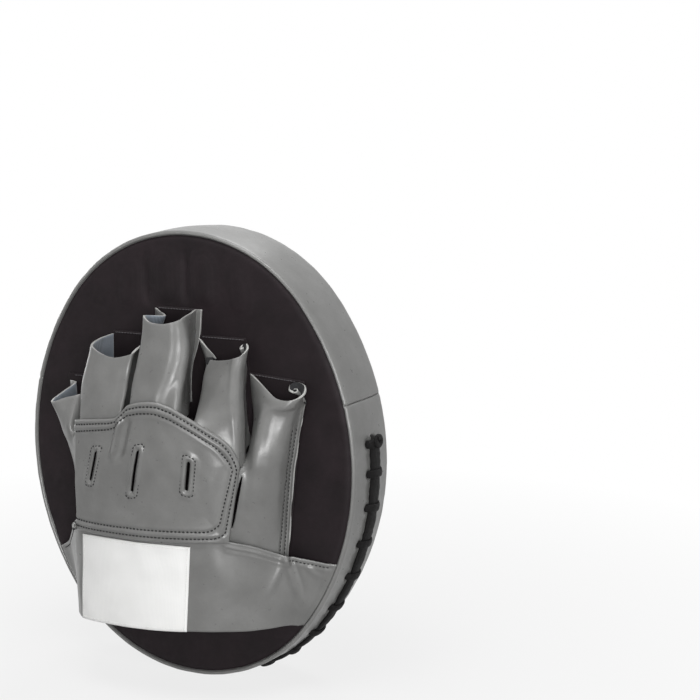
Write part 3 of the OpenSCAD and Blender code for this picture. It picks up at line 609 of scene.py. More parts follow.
# The target is a patch with a rolled edge and a row of stitches
TARGET_POINTS, TARGET_Y, STITCHED = 145, HALF_DEPTH + CROWN, 5
around = np.linspace(0, 2 * np.pi, TARGET_POINTS)
profile = [(30.2, 0.06), (30.5, 0.3), (30.35, 0.6), (29.9, 0.78), (29.0, 0.82), (27.9, 0.62), (26.8, 0.8)]
profile += [(r, 0.82 + 0.1 * (1 - (r / 26) ** 2)) for r in np.linspace(25.5, 0, 16)]
target = Grid([
    joined(r * np.cos(around), TARGET_Y + h + 0 * around, MIDDLE + r * np.sin(around)) for r, h in profile])
target.push(0.05 * waves(target.p[..., [0, 2]], 18, 41) * ease(0.3, 0.8, target.p[..., 1] - TARGET_Y))
row = STITCHED / (len(profile) - 1)
sewn = np.linspace((row, 0), (row, 1), TARGET_POINTS)
threads = stitches("target_stitches", target, [sewn], "thread", 3.2, 2.4, 0.34, 0.12, 5)
sheet_piece(
    "target_patch", target, ["target", "edge", "edge"], "target_disc", "target_grey", "laid", ["strike_face"],
    [threads], thickness=0.5, merge=True)


# Foam

def foam_block(node, material, y0, y1, corner0, corner1, crown):
    """A slab of foam with rounded edges, hollowed along the lace. y0 is its strike side."""
    edge = 2.6
    t = np.radians(np.linspace(0, 90, 6))
    profile = [(k, edge + corner0 + 18, y0 + crown) for k in steps(14)]
    profile += [(1, edge + corner0 + 9, y0 + crown * 0.7), (1, edge + corner0 + 3, y0 + crown * 0.3)]
    profile += [(1, edge + corner0 - corner0 * math.sin(a), y0 - corner0 * (1 - math.cos(a))) for a in t]
    profile += [(1, edge, y) for y in np.linspace(y0 - corner0, y1 + corner1, 8)[1:-1]]
    profile += [(1, edge + corner1 - corner1 * math.sin(a), y1 + corner1 * (1 - math.cos(a))) for a in t[::-1]]
    profile += [(k, edge + corner1 + 6, y1) for k in np.linspace(1, 0, 16)]
    s = np.linspace(0, ROUND, 300)
    grid = oval_grid(s, profile)
    rim = np.array([(share == 1) * hump(inset - edge, 5) for share, inset, _ in profile])
    down = np.mod(ROUND - s, ROUND)
    down = np.where(down > ROUND - 60, down - ROUND, down)
    laced = ease(-LACE_START - 22, -LACE_START - 12, down) * ease(LACE_LAST + 22, LACE_LAST + 12, down)
    depth = 5.6 * rim[:, None] * laced[None, :] * ease(12.5, 9.5, abs(grid.p[..., 1] - SLIT))
    way = grid.p * [1, 0, 1] - [0, 0, MIDDLE]
    grid.p = grid.p - unit(way) * depth[..., None]
    grid.p[..., 2] = np.maximum(grid.p[..., 2], 1.6)
    outward = quads(*grid.p.shape[:2])[:, ::-1].tolist()
    obj = mesh_object(node + "_slab", grid.p.reshape(-1, 3), outward, [material], merge=True)
    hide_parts(node)


foam_block("strike_foam", "dense", 17.6, 5.35, 4.5, 0.5, 1.7)
foam_block("shock_foam", "soft", 5.05, -9.05, 0.5, 0.5, 0.0)
foam_block("palm_foam", "soft", -9.35, -17.6, 0.5, 4.5, 0.0)


# Lace

OVER, PINCH, COVER, THICK, WIDE = 1.5, 0.75, 1.5, 2.2, 5.6
BAR_OVER = OVER + 2.0
UNDER = -(COVER + 0.3 + THICK / 2)
TOP, LOW = CROSSINGS[0] - 3.4, LACE_LAST + LACE_MARGIN


def lace_tube(name, rows, per_span=6, around=14):
    """A lace through rows of: place down the rim, across the slit and out from it, its width's direction along
    and across the slit, and its share of the full width."""
    down, across, out, along_side, across_side, share = np.array(rows, float).T
    a = oval_angle(-down)
    points = on_oval(-down, -out, SLIT + across)
    sides = joined(along_side * np.sin(a), across_side, -along_side * np.cos(a))
    count = (len(points) - 1) * per_span + 1
    t = steps(count)
    c = along(points, t)
    g = along(share[:, None], t)[:, 0]
    ahead = unit(np.gradient(c, axis=0))
    up = unit(np.cross(ahead, along(sides, t)))
    w = np.cross(up, ahead)
    turn = np.linspace(0, 2 * np.pi, around, endpoint=False)
    ca, sa = np.cos(turn), np.sin(turn)
    wide = np.sign(ca) * abs(ca) ** 0.75
    high = np.sign(sa) * abs(sa) ** 0.75 * (1 - 0.1 * ca * ca)
    lump = 1 + 0.05 * waves(c, 5.0, 62)
    half_wide = WIDE / 2 * g * lump
    half_high = THICK / 2 * lerp(0.8, 1.4, ease(0.85, 1.6, g)) * lump
    p = c[:, None] + half_wide[:, None, None] * wide[None, :, None] * w[:, None]
    p = p + half_high[:, None, None] * high[None, :, None] * up[:, None]
    return mesh_object(name, p.reshape(-1, 3), tube_faces(count, around), ["lace"])


def bar(s, sway):
    """One crossing over the slit, from hole to hole."""
    r = LACE_ROW
    return [
        (s + 0.6, r - 2.6, UNDER, 0.8, 0.5, 0.9), (s, r - 0.5, UNDER + 0.7, 1, 0, PINCH),
        (s, r, -COVER / 2, 1, 0, PINCH), (s + 0.3 * sway, r - 0.4, OVER + 0.2, 1, 0.1, 0.8),
        (s + 0.6 * sway, r * 0.6, BAR_OVER - 0.5, 1, 0.15, 0.84), (s + 0.4 * sway, 0, BAR_OVER, 1, 0.1, 0.8),
        (s - 0.2 * sway, -r * 0.6, BAR_OVER - 0.5, 1, 0, 0.84), (s - 0.3 * sway, 0.4 - r, OVER + 0.2, 1, 0, 0.8),
        (s, -r, -COVER / 2, 1, 0, PINCH), (s, 0.5 - r, UNDER + 0.7, 1, 0, PINCH),
        (s - 0.6, 2.6 - r, UNDER, 0.8, 0.5, 0.9),
    ]


# It runs down the slit first, and comes back up crossing by crossing
rng = np.random.default_rng(61)
run = [
    (TOP - 1, 0, UNDER, 0, 1, 0.7), (TOP, 0, UNDER + 1, 0, 1, PINCH),
    (TOP + 0.4, 0, -0.2, 0, 1, PINCH), (TOP + 1.6, 0, OVER, 0, 1, 1.1),
]
for k, at in enumerate(CROSSINGS):
    if k > 0:
        run.append(((CROSSINGS[k - 1] + at) / 2, rng.normal(0, 0.35), OVER + 0.3, 0, 1, 1.95))
    run.append((at, 0, OVER, 0, 1, 1.75))
run += [
    (LOW - 2.2, 0, OVER, 0, 1, 0.9), (LOW - 0.5, 0, -0.2, 0, 1, PINCH),
    (LOW, 0, UNDER + 0.5, 0, 1, PINCH), (LOW - 2.5, 1.4, UNDER, 0.5, 0.8, 0.9),
]
for at in CROSSINGS[::-1]:
    run += bar(at, rng.normal(0, 0.6))
lace = lace_tube("lace_cord", run)
knot = lace_tube("lace_knot", [
    (CROSSINGS[0] - 0.6 + 2.2 * math.cos(a), 2.9 * math.sin(a), OVER + 2.2 + 0.1 * a,
     math.cos(a), math.sin(a), 0.6) for a in np.linspace(0, 3.2 * math.pi, 17)])
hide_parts("lace")


# Glove: points are given as x, rise above the pad and height above its middle

FOOT = [-76.0, -47.5, -18.5, 9.5, 41.0, 73.5]
MOUTH = [38.0, 65.0, 82.0, 68.0, 48.0]
LEFT, RIGHT, CREST, RISE = -73.0, 70.0, -5.0, 47.0
FOOT_RISE, LAP, TUCK, LEAN = 1.1, 1.8, 8.0, 0.105
# The dorsal panel's edges: x at the upper and lower corners, and heights
EDGE_TOP, EDGE_LOW, EDGE_LOW_Z, CORNER_Z = (-45.5, 51.5), (-46.5, 46.0), (-37.0, -35.8), 6.0


def place(p):
    """From the glove's x, rise and height to the frame."""
    p = np.asarray(p, float)
    return joined(p[..., 0], -HALF_DEPTH - p[..., 1], MIDDLE + p[..., 2])


def glove(p):
    """From the frame back to the glove's x and height."""
    return p[..., 0], p[..., 2] - MIDDLE


def bow(share, power):
    return np.maximum(0, 1 - np.maximum(share, 0) ** power) ** (1 / power)


def arch(x):
    """Rise of the glove's back over the knuckles."""
    left, right = bow((CREST - x) / (CREST - LEFT), 2.6), bow((x - CREST) / (RIGHT - CREST), 1.8)
    return RISE * np.where(x < CREST, left, right)


def under_arch(x):
    """Rise of the outside of a sheet that lies under the dorsal panel."""
    return arch(x) - LAP * np.hypot(1, (arch(x + 1) - arch(x - 1)) / 2)


SEAM_X = np.linspace(-70, 70, 561)
SEAM_Z = np.interp(
    SEAM_X,
    [-60, -45, -40, -30, -20, -15, -11, -7, 0, 6, 11, 18, 24, 30, 36, 42.5, 46, 48.5, 50.3, 51.5, 56],
    [24.5, 25.2, 26, 27.5, 28.8, 29.8, 33.5, 37.6, 39.6, 40.3, 40.2, 37.9, 34.6, 30.9, 26.8, 22.2, 18.8, 15.2,
     10.8, 6, 2])
kernel = np.hanning(17)
SEAM_Z = np.convolve(np.pad(SEAM_Z, 8, mode="edge"), kernel / kernel.sum(), mode="valid")


def sewn_edge(x):
    """Height of the dorsal panel's top edge over the knuckles."""
    return np.interp(x, SEAM_X, SEAM_Z)


def level(z, x, rise):
    return [(a, b, z) for a, b in zip(x, rise)]


def spots(x, rise, z):
    return list(zip(x, rise, z))


def base_line(x, shares):
    """A stall's section where it passes under the dorsal panel, from x and shares of the rise there."""
    return spots(x, lerp(FOOT_RISE, under_arch(np.array(x)), np.array(shares)), sewn_edge(x) - TUCK)


FLANGE = [(-1.8, 4.2), (-1.6, 3.1), (-1.3, 2.5), (-1.0, 2.3), (-0.7, 2.3), (-0.4, 2.3), (0.0, 2.3)]


def thumb_line(edge, end, x, rise, z):
    """A section of the thumb's sheet that ends in a flange at x = edge and that height."""
    return spots(x, rise, z) + [(edge + a, b, end) for a, b in FLANGE]


def stall_grid(sections, weights, rows, columns, seed, size, depth=0.2):
    """A stall through sections from its mouth down, slightly wrinkled."""
    grid = Grid(place(lofted(sections, weights, rows, columns)))
    _, u = grid.shares()
    wrinkle = ripples(grid.p, seed, (depth, size), (0.35 * depth, 0.4 * size))
    grid.push(ease(0, 0.08, u) * ease(1, 0.92, u) * wrinkle)
    return grid


def crease(grid, u0, u1, height, width):
    """A sharp ridge down a stall, from a share of its mouth to a share of its foot."""
    d = grid.near(np.linspace((0, u0), (1, u1), 80))
    v, _ = grid.shares()
    grid.push(height * np.maximum(0, 1 - d / width) ** 1.5 * ease(1.1, 0.75, v))


# Ring finger: its right edge stands out over a deep gap to the middle finger
ring_grid = stall_grid([
    spots([-47.1, -46.4, -43.5, -40, -32, -24, -17, -12.8, -14.5, -18.7],
        [1.1, 14, 25, 31, 33.3, 33.6, 32.5, 30, 18, 1.1], [67, 66.3, 65.5, 64.3, 61.5, 60, 61.3, 63, 65.2, 67]),
    level(53, [-47.3, -47.3, -45.6, -42.6, -34, -25.5, -19, -15.2, -25, -21],
        [1.1, 15, 27, 33, 35.5, 36, 35, 31, 20, 1.1]),
    level(40, [-47.3, -48, -47.2, -44.4, -35, -26, -19, -14.8, -25.5, -20.4],
        [1.1, 17, 29.5, 35.5, 39, 40, 39.6, 36.5, 22, 1.1]),
    base_line([-46.4, -46.4, -46, -43.5, -35, -26, -19, -15.4, -21.5, -17.4],
        [0, 0.45, 0.8, 0.97, 1, 1, 1, 0.97, 0.55, 0]),
], [13, 13, 18], 76, 104, 71, 24)
crease(ring_grid, 0.76, 0.77, 0.5, 3.0)
# Middle finger: a flat front that ends in a ridge on its right, and a left side creased in
middle_grid = stall_grid([
    spots([-18, -13.5, -5, -8, -7.6, -2, 5, 10.4, 15.2, 15.6, 12.6, 9.4, 11.8],
        [1.1, 4.5, 12, 21, 28.5, 31.8, 32, 31.4, 28.6, 23, 11, 1.1, 1.2],
        [83.5, 82.5, 81.5, 82.5, 83.2, 80.6, 80, 80.6, 82.4, 83.5, 84, 84, 84.2]),
    level(68, [-17.6, -14.8, -9.8, -9.6, -8, -2, 6, 12, 18.2, 19.8, 13.6, 8.0, 10.2],
        [1.1, 7, 15, 24, 31, 33.6, 34.2, 34.2, 31.2, 26, 14, 1.1, 1.2]),
    level(54, [-16.8, -15, -12, -10.4, -8.8, -2, 6, 11.2, 17.3, 19.6, 11.8, 5.4, 6.2],
        [1.1, 12, 22, 30, 35.5, 38, 38.6, 38.8, 35.8, 30, 16, 1.1, 1.1]),
    level(43, [-15, -14, -12, -10.6, -8.8, -2, 4, 8, 13.6, 19.8, 12.8, 4.4, 4.8],
        [1.1, 14, 27, 35, 39.5, 41.6, 42.2, 42.4, 40, 35.6, 20, 1.1, 1.1]),
    base_line([-12.6, -12.2, -11.2, -10, -8.4, -2, 4, 9, 14, 20.5, 16.6, 4.6, 5],
        [0, 0.35, 0.65, 0.86, 0.97, 1, 1, 1, 1, 0.99, 0.55, 0.03, 0]),
], [14, 14, 11, 14], 96, 136, 73, 26)
crease(middle_grid, 0.59, 0.585, 0.35, 2.4)
# Index finger: pressed down at its mouth, folded on its left, with a ridge and a curled corner on its right
index_grid = stall_grid([
    spots([9.9, 15.5, 23.6, 20.4, 27, 34, 39.6, 43.2, 44.6, 42.4, 39.6, 40.2, 42],
        [1.1, 3.4, 6.8, 9.4, 11.4, 12.8, 14, 11.8, 7, 3.9, 5, 8, 7.2],
        [68.3, 64.5, 59.8, 59, 58.8, 59.6, 61, 62.8, 65.6, 67.8, 67.2, 65.5, 66]),
    level(53, [15.5, 17.4, 20.2, 21.6, 27.5, 34, 40.2, 43.5, 44.2, 43, 42, 41.2, 40.6],
        [1.1, 6.4, 10.8, 13.8, 15.8, 17, 17.4, 15.2, 11, 8, 5.4, 3, 1.1]),
    level(41, [17.5, 19, 20.8, 23.2, 28.5, 35, 42, 45.5, 46, 44.2, 42.6, 40.8, 39.6],
        [1.1, 10, 16.4, 20.6, 22.8, 23.4, 22.4, 20, 15.4, 11.6, 8, 4.4, 1.1]),
    spots([21, 21.8, 23, 25.4, 31, 38.5, 46, 48.8, 49, 46, 43.4, 41.6, 40.6],
        [1.1, 14, 24, 28.4, 30, 28.8, 26.6, 24, 18.6, 14, 9.4, 5, 1.1],
        [33, 33, 33, 32.5, 31, 29.5, 28, 26.5, 25.5, 25, 24.5, 24, 24]),
    base_line([23.4, 23.8, 24.6, 26.6, 32, 40, 48.6, 49.4, 49, 47.4, 45.4, 44, 43.2],
        [0, 0.4, 0.7, 0.95, 1, 1, 0.97, 0.86, 0.7, 0.52, 0.35, 0.15, 0]),
], [12, 12, 11, 14], 96, 128, 75, 26, 0.14)
crease(index_grid, 0.5, 0.5, 0.4, 2.4)
# Little finger: one sheet with the glove's side below it, tucked up under the dorsal panel
little_grid = stall_grid([
    spots([-76, -73.1, -72, -70.8, -67.7, -60.2, -52.5, -48.2, -47.4],
        [2.3, 2.5, 15.5, 25.7, 31, 29, 25.6, 12.7, 1.1], [38, 37, 34, 32, 31, 34, 36, 38, 38]),
    level(21, [-75, -72.5, -71.6, -69, -64.6, -58.5, -52.6, -48.6, -47.8],
        [2.3, 2.6, 12, 22, 29, 33, 33.5, 17, 1.1]),
    spots([-74.2, -71.9, -70.6, -67.4, -63, -57.4, -52, -47.6, -42],
        [2.3, 2.6, 11, 20.5, 27.5, 32.5, 35, 36.6, 38.4], [13] * 7 + [16.6] * 2),
    level(6, [-73.4, -71.2, -69.4, -65.8, -61.4, -56.4, -51.5, -46.5, -40.5],
        [2.3, 2.6, 10, 18.5, 25.5, 31, 35.2, 38.6, 41]),
    level(-12, [-71.2, -69.4, -66.8, -63, -58.6, -54.4, -50.4, -46, -40.5],
        [2.3, 2.6, 9, 16, 23, 29, 33.8, 38.2, 41]),
    spots([-68.6, -67, -64.4, -61, -57.4, -53.6, -50, -46, -40.5],
        [2.3, 2.6, 8, 14.5, 21, 27, 31.6, 35.4, 38.6], [-42, -42, -41, -40, -39, -38, -37, -36, -35]),
], [17, 8, 7, 18, 28], 100, 96, 77, 24)
# Thumb: one sheet with the glove's other side, its free corner rolled up like a scroll
thumb_grid = stall_grid([
    spots([42.2, 47.5, 52.6, 61.2, 66, 72, 77.4, 79.4, 77.4, 72, 68.6, 69.6, 73, 75, 73.6, 71.6],
        [1.1, 4, 6.8, 10.8, 12.6, 13.4, 10.6, 6.4, 2.6, 2.0, 4.6, 8.2, 9.2, 7, 5, 6],
        [51, 49, 46.8, 42.4, 41, 40.8, 41.8, 44, 47.4, 48.8, 47.4, 45, 44, 45, 46.4, 46]),
    spots([42.7, 47.2, 52.5, 59.6, 64.6, 70, 74, 76, 76.4, 76.2, 76, 76.1, 76.3, 76.4, 76.5, 76.6],
        [1.1, 4.8, 8.8, 13.2, 14.8, 14.4, 11.6, 8, 5.2, 3.8, 3.2, 2.9, 2.7, 2.6, 2.5, 2.4],
        [43, 42, 40.6, 38.2, 37, 36.6, 37, 38, 39, 39.6, 39.8, 39.9, 39.9, 39.9, 39.9, 39.9]),
    thumb_line(75.4, 33.4, [43.2, 47, 52.4, 57.6, 62.6, 67.2, 70.8, 72.8, 73.5],
        [1.1, 5.6, 11, 15.8, 15.4, 13.4, 11.2, 8.8, 6.4], [36, 35.5, 35, 34, 33, 32.5, 32.5, 32.8, 33]),
    thumb_line(73.0, 21, [44.6, 47.6, 52.4, 56.6, 61.4, 65.4, 68.6, 70.3, 70.9],
        [1.6, 8, 15, 19.4, 18.4, 16, 13.4, 10, 6.4], [24, 23.5, 23, 22, 21.5, 21, 21, 21, 21]),
    thumb_line(71.2, 10, [45.6, 48.8, 52.6, 56.6, 61, 64.6, 67.2, 68.7, 69.2],
        [9, 15.5, 20, 22.4, 20.4, 17.6, 14.4, 10.4, 6.6], [11, 11, 10.5, 10, 10, 10, 10, 10, 10]),
    thumb_line(69, -4, [45.6, 48.6, 52, 56.4, 60.4, 63.4, 65.6, 66.7, 67.1],
        [30, 27.2, 24.2, 22.6, 19.8, 16.6, 13, 9.2, 6], [-1, -2.4, -3.6, -4, -4, -4, -4, -4, -4]),
    thumb_line(65.2, -52, [35, 40, 46, 51.5, 56, 59.4, 61.6, 62.6, 63],
        [33.6, 29.6, 25, 21, 16.4, 11.6, 8, 6, 4.8], [-36, -38, -41, -44, -46.5, -49, -50, -51, -51.5]),
], [6, 6, 11, 11, 14, 44], 144, 136, 79, 28)


def gape(grid, width, z_top, z_low):
    """Parts the thumb's sheet beside the dorsal panel's right edge, and gives the slit."""
    x, z = glove(grid.p)
    inside = (z < z_top) & (z > z_low)
    panel = lerp(EDGE_TOP[1], EDGE_LOW[1], (CORNER_Z - z) / (CORNER_Z - EDGE_LOW_Z[1]))
    miss = (abs(x - panel + 1.0) * inside).sum(axis=0) / np.maximum(inside.sum(axis=0), 1)
    first, last = 4, 60
    column = first + int(np.argmin(miss[first:last]))
    first, last = map(int, np.flatnonzero(inside[:, column])[[0, -1]])
    across = grid.from_edge("left")
    d = across - across[:, column:column + 1]
    half = slit_half(np.arange(len(d)), first, last, width)[:, None]
    open_by = half * np.sign(d) * np.maximum(0, 1 - abs(d) / 4)
    grid.p = grid.p + open_by[..., None] * unit(np.gradient(grid.p, axis=1))
    return column, first, last, width


# Rows of stitches along the free edges: the side, distances from it, shares of it and the seed
SEWN = {"thumb": ("right", (2.2, 5.8), 0.22, 0.97, 80), "little": ("left", (2.2,), 0.05, 0.985, 78)}
for name, grid, inside in (
    ("little", little_grid, "backing"), ("ring", ring_grid, "backing"), ("middle", middle_grid, "backing"),
    ("index", index_grid, "dark_backing"), ("thumb", thumb_grid, "dark_backing"),
):
    grid.p[..., 1] = np.minimum(grid.p[..., 1], -HALF_DEPTH - FOOT_RISE)
    slits = [gape(grid, 1.9, 1.0, -29.0)] if name == "thumb" else []
    threads = []
    if name in SEWN:
        side, distances, a, b, seed = SEWN[name]
        rows = [grid.inset(side, d, a, b) for d in distances]
        grid.groove(rows, 0.25, 0.7, 0.1)
        threads = [stitches(name + "_stitches", grid, rows, "thread", 2.2, 1.4, 0.32, 0.12, seed)]
    sheet_piece(
        name if name == "thumb" else name + "_finger", grid, ["vinyl", inside, "edge"], name + "_stall",
        "grey_vinyl", "gathered", ["palm_lining_cloth"], threads, slits=slits,
        wear=0.5 * ease(0.05, 0, grid.shares()[0]))


# Dorsal panel

DORSAL_ROWS, DORSAL_COLUMNS, DORSAL_WIDTH, DORSAL_HEIGHT = 130, 150, 97.0, 56.0
v, u = np.meshgrid(steps(DORSAL_ROWS), steps(DORSAL_COLUMNS), indexing="ij")
across = u - 1.9 * u * (1 - u) ** 3 * (v - 0.4)
x_top = lerp(*EDGE_TOP, across)
x = lerp(x_top, lerp(*EDGE_LOW, across), v)
dorsal = Grid(place(joined(x, arch(x), lerp(sewn_edge(x_top), lerp(*EDGE_LOW_Z, across), v))))
x, z = glove(dorsal.p)
slits, outlines, puff = [], [], 0
for (x_top, z_top), (x_low, z_low), width in (
    ((-27.7, 10.1), (-33.6, -7.0), 2.5), ((-0.3, 14), (-4.4, -9.9), 3.0), ((27.5, 9.1), (25.5, -6.7), 3.3),
):
    miss = abs(z - (z_top + z_low) / 2) + abs(x - (x_top + x_low) / 2)
    column = int(np.unravel_index(np.argmin(miss), miss.shape)[1])
    first, last = (int(np.argmin(abs(z[:, column] - end))) for end in (z_top, z_low))
    slits.append((column, first, last, width))
    top, low, at = first / (DORSAL_ROWS - 1), last / (DORSAL_ROWS - 1), column / (DORSAL_COLUMNS - 1)
    d = dorsal.near(np.linspace((top, at), (low, at), 60))
    puff = puff + 0.3 * width * hump(d - 2.4, 1.5) - 0.3 * hump(d, 0.8)
    half_v, half_u, round_v, round_u = (low - top) / 2 + 0.045, 0.035, 0.03, 0.02
    turn = np.radians([corner + a for corner in (0, 90, 180, 270) for a in np.linspace(0, 90, 8)])
    out_v, out_u = np.repeat([[1, 1, -1, -1], [1, -1, -1, 1]], 8, axis=1)
    outline = joined(
        (top + low) / 2 + out_v * (half_v - round_v) + round_v * np.sin(turn),
        at + out_u * (half_u - round_u) + round_u * np.cos(turn))
    outlines.append(np.vstack([outline, outline[:1]]))


def hem_row(distance):
    """A row of stitches along the top, right and lower edges of the panel, with rounded corners."""
    gap_u, gap_v = (distance + 3.5) / DORSAL_WIDTH, (distance + 3.5) / DORSAL_HEIGHT
    a = dorsal.inset("top", distance, 0.0, 1 - gap_u)
    b = dorsal.inset("right", distance, gap_v, 1 - gap_v)
    c = dorsal.inset("low", distance, 0.0, 1 - gap_u)[::-1]
    path = resampled(np.vstack([a, b, c]), 0.004)
    wide = np.pad(path, ((8, 8), (0, 0)), mode="edge")
    return joined(*(np.convolve(column, np.ones(17) / 17, mode="valid") for column in wide.T))


rows = [hem_row(2.7), hem_row(6.6)]
from_hem = dorsal.from_edge("top", "low", "right")
from_edge = dorsal.from_edge("top", "low", "right", "left")
hem = 0.4 * hump(from_hem - 4.6, 1.5) - 0.9 * ease(1.2, 0, from_edge)
ridge = x + 12.3 + 4.4 * np.clip((25.3 - z) / 15.8, -0.3, 1.6)
fold = ease(33, 27, z) * ease(4, 12, z) * (2.8 * hump(ridge, 1.7) - 1.2 * hump(ridge - 4.4, 2.6))
broad = ease(8, 18, from_hem) * ripples(dorsal.p, 81, (0.5, 32), (0.15, 16))
dorsal.push(hem + puff + fold + broad)
dorsal.groove(rows, 0.45, 0.8, 0.15)
dorsal.groove(outlines, 0.35, 0.7, 0.1)
threads = [
    stitches("dorsal_stitches", dorsal, rows, "thread", 2.2, 1.5, 0.42, 0.1, 84),
    stitches("vent_stitches", dorsal, outlines, "thread", 2.0, 1.25, 0.36, 0.08, 85)]
sheet_piece(
    "dorsal_cover", dorsal, ["vinyl", "dark_backing", "vinyl"], "dorsal_panel", "grey_vinyl", "stretched",
    ["ring_finger", "middle_finger", "index_finger", "wrist_band_cover"], threads,
    wear=0.6 * ease(1.4, 0, from_edge), slits=slits)


# Wrist band

SEAM_IN = 3.9
BAND_LOW, BAND_HIGH, END_RISE, DROP = -87.0, -50.0, 1.5, 33.0
PANEL_LEFT, PANEL_RIGHT = -51.0, 41.5
LABEL_L, LABEL_R = PANEL_LEFT + 10.5, PANEL_LEFT + 82.5
LABEL_X = [lerp(LABEL_L, LABEL_R, k / 4) for k in range(5)]


def seam_half_width(z):
    """Half the width of the back panel between its seams."""
    if abs(z) < SIDE_R * math.sin(TURN):
        return math.sqrt((SIDE_R - SEAM_IN) ** 2 - z * z) - SIDE_C - 1
    return math.sqrt((END_R - SEAM_IN) ** 2 - (abs(z) - END_C) ** 2) - 1


def tucked(x, z, by=0.0):
    return x, under_arch(x) - by, z


far, near = -seam_half_width(BAND_HIGH - 8), seam_half_width(BAND_HIGH)
top_edge = [
    (far, END_RISE, BAND_HIGH - 13), (lerp(far, PANEL_LEFT, 0.33), 9, BAND_HIGH - 6),
    (lerp(far, PANEL_LEFT, 0.68), 23.5, lerp(BAND_HIGH, -DROP, 0.2)), tucked(PANEL_LEFT + 1, -0.5 - DROP, 1.5),
    *(tucked(x, z - DROP) for x, z in zip(LABEL_X, (3, 4, 4, 4, 2.5))), tucked(PANEL_RIGHT + 3, -2 - DROP),
    (lerp(PANEL_RIGHT, near, 0.28), 21.5, -6 - DROP),
    (lerp(PANEL_RIGHT, near, 0.52), 9, lerp(-DROP, BAND_HIGH, 0.75)),
    (lerp(PANEL_RIGHT, near, 0.76), 3.4, lerp(-DROP, BAND_HIGH, 0.9)), (near, END_RISE, BAND_HIGH)]
far, near = -seam_half_width(BAND_LOW), seam_half_width(BAND_LOW)
low_edge = [
    (far, END_RISE, BAND_LOW), (lerp(far, PANEL_LEFT, 0.28), 9.5, BAND_LOW),
    (lerp(far, PANEL_LEFT, 0.6), 22.5, BAND_LOW), tucked(PANEL_LEFT + 2, BAND_LOW, 2),
    *((x, arch(x) - 1, BAND_LOW + 0.5 * k) for k, x in enumerate(LABEL_X)),
    *((lerp(LABEL_R, near, share), rise, BAND_LOW + up) for share, rise, up in (
        (0.32, 32.5, 2), (0.56, 24.5, 1.5), (0.77, 14, 1), (0.91, 5.5, 0.5))), (near, END_RISE, BAND_LOW)]
SPANS = len(top_edge) - 1
BAND_COLUMNS, BAND_ROWS = SPANS * 18 + 1, 54
u = steps(BAND_COLUMNS)
t = steps(BAND_ROWS)[:, None, None]
band = Grid(place(lerp(along(top_edge, u)[None], along(low_edge, u)[None], t)))
v, u = band.shares()
from_top = band.from_edge("top")
on_label = ease(3.4, 4.2, u * SPANS) * ease(8.6, 7.8, u * SPANS)
free = ease(0, 0.06, u) * ease(1, 0.94, u) * ease(0, 0.15, v)
band.push(free * (1 - 0.8 * on_label) * ripples(band.p, 91, (0.3, 30), (0.08, 13)))
# Folds that fade out from the top edge on the right, as shares of the way down and spans along
for height, width, marks in (
    (1.2, 2.2, ((0.05, 11.05), (0.3, 10.85), (0.58, 10.6))),
    (1.2, 2.0, ((0.05, 11.05), (0.36, 11.55), (0.64, 12.28))),
    (-0.9, 1.7, ((0.01, 11.25), (0.25, 11.75), (0.5, 12.3))),
    (0.7, 1.6, ((0.1, 12.0), (0.16, 12.3), (0.22, 12.55))),
):
    t = steps(40)
    spine = band.at(*(along(marks, t) / [1, SPANS]).T)[0]
    fold = 0
    for q, fade in zip(spine, 1 - t**2):
        fold = np.maximum(fold, fade * hump(np.linalg.norm(band.p - q, axis=2), width))
    band.push(height * fold)
# Both ends reach into the rim's seams
for side, sign, end in ((0, -1, ease(0.06, 0, u)), (-1, 1, ease(0.94, 1, u))):
    reach = sign * np.array([seam_half_width(z) + 2.7 for z in glove(band.p[:, side])[1]])
    band.p[..., 0] += end * (reach - band.p[:, side, 0])[:, None]
    band.p[..., 1] += 1.9 * ease(0.5, 1, end)
rows = [band.inset("top", 2.2, 0.04, 0.31), band.inset("top", 2.2, 0.86, 0.985)]
band.groove(rows, 0.3, 0.8, 0.2)
for distance in (1.6, 4.4):
    band.groove([band.inset("top", distance, 0.69, 0.855)], 0.45, 0.5, 0.25)
band.p[..., 1] = np.minimum(band.p[..., 1], -HALF_DEPTH + 0.4)
threads = stitches("band_stitches", band, rows, "thread", 2.2, 1.45, 0.33, 0.12, 93)
sheet_piece(
    "wrist_band_cover", band, ["vinyl", "backing", "vinyl"], "wrist_band", "grey_vinyl", "stretched", ["back_face"],
    [threads], wear=0.4 * ease(1.6, 0, from_top))


# Label

LABEL_ROWS, LABEL_COLUMNS, LABEL_LIFT = 60, 84, 0.75
v, t = np.meshgrid(np.linspace(0.15, 1.0, LABEL_ROWS), steps(LABEL_COLUMNS), indexing="ij")
u = lerp(lerp(3.97, 3.8, v), lerp(7.72, 7.58, v), t) / SPANS
p, n = band.at(v.reshape(-1), u.reshape(-1))
label = Grid((p + LABEL_LIFT * n).reshape(LABEL_ROWS, LABEL_COLUMNS, 3))
SIDES = "top", "low", "left", "right"
rim = label.from_edge(*SIDES)
label.push(0.15 * waves(label.p, 22, 95) * ease(0, 6, rim) + 0.02 * ease(2.4, 1.6, rim) - 0.2 * ease(0.8, 0, rim))
rows = [label.inset(side, 1.6) for side in SIDES]
label.groove(rows, 0.05, 0.6, 0.02)
threads = stitches("label_stitches", label, rows, "white_thread", 2.8, 2.1, 0.15, 0.06, 96)
sheet_piece(
    "label_patch", label, ["label"] * 3, "label", "label_white", "laid", ["wrist_band_cover"], [threads],
    thickness=0.5)


# Lining on the back panel, stepped along the mouths of the stalls

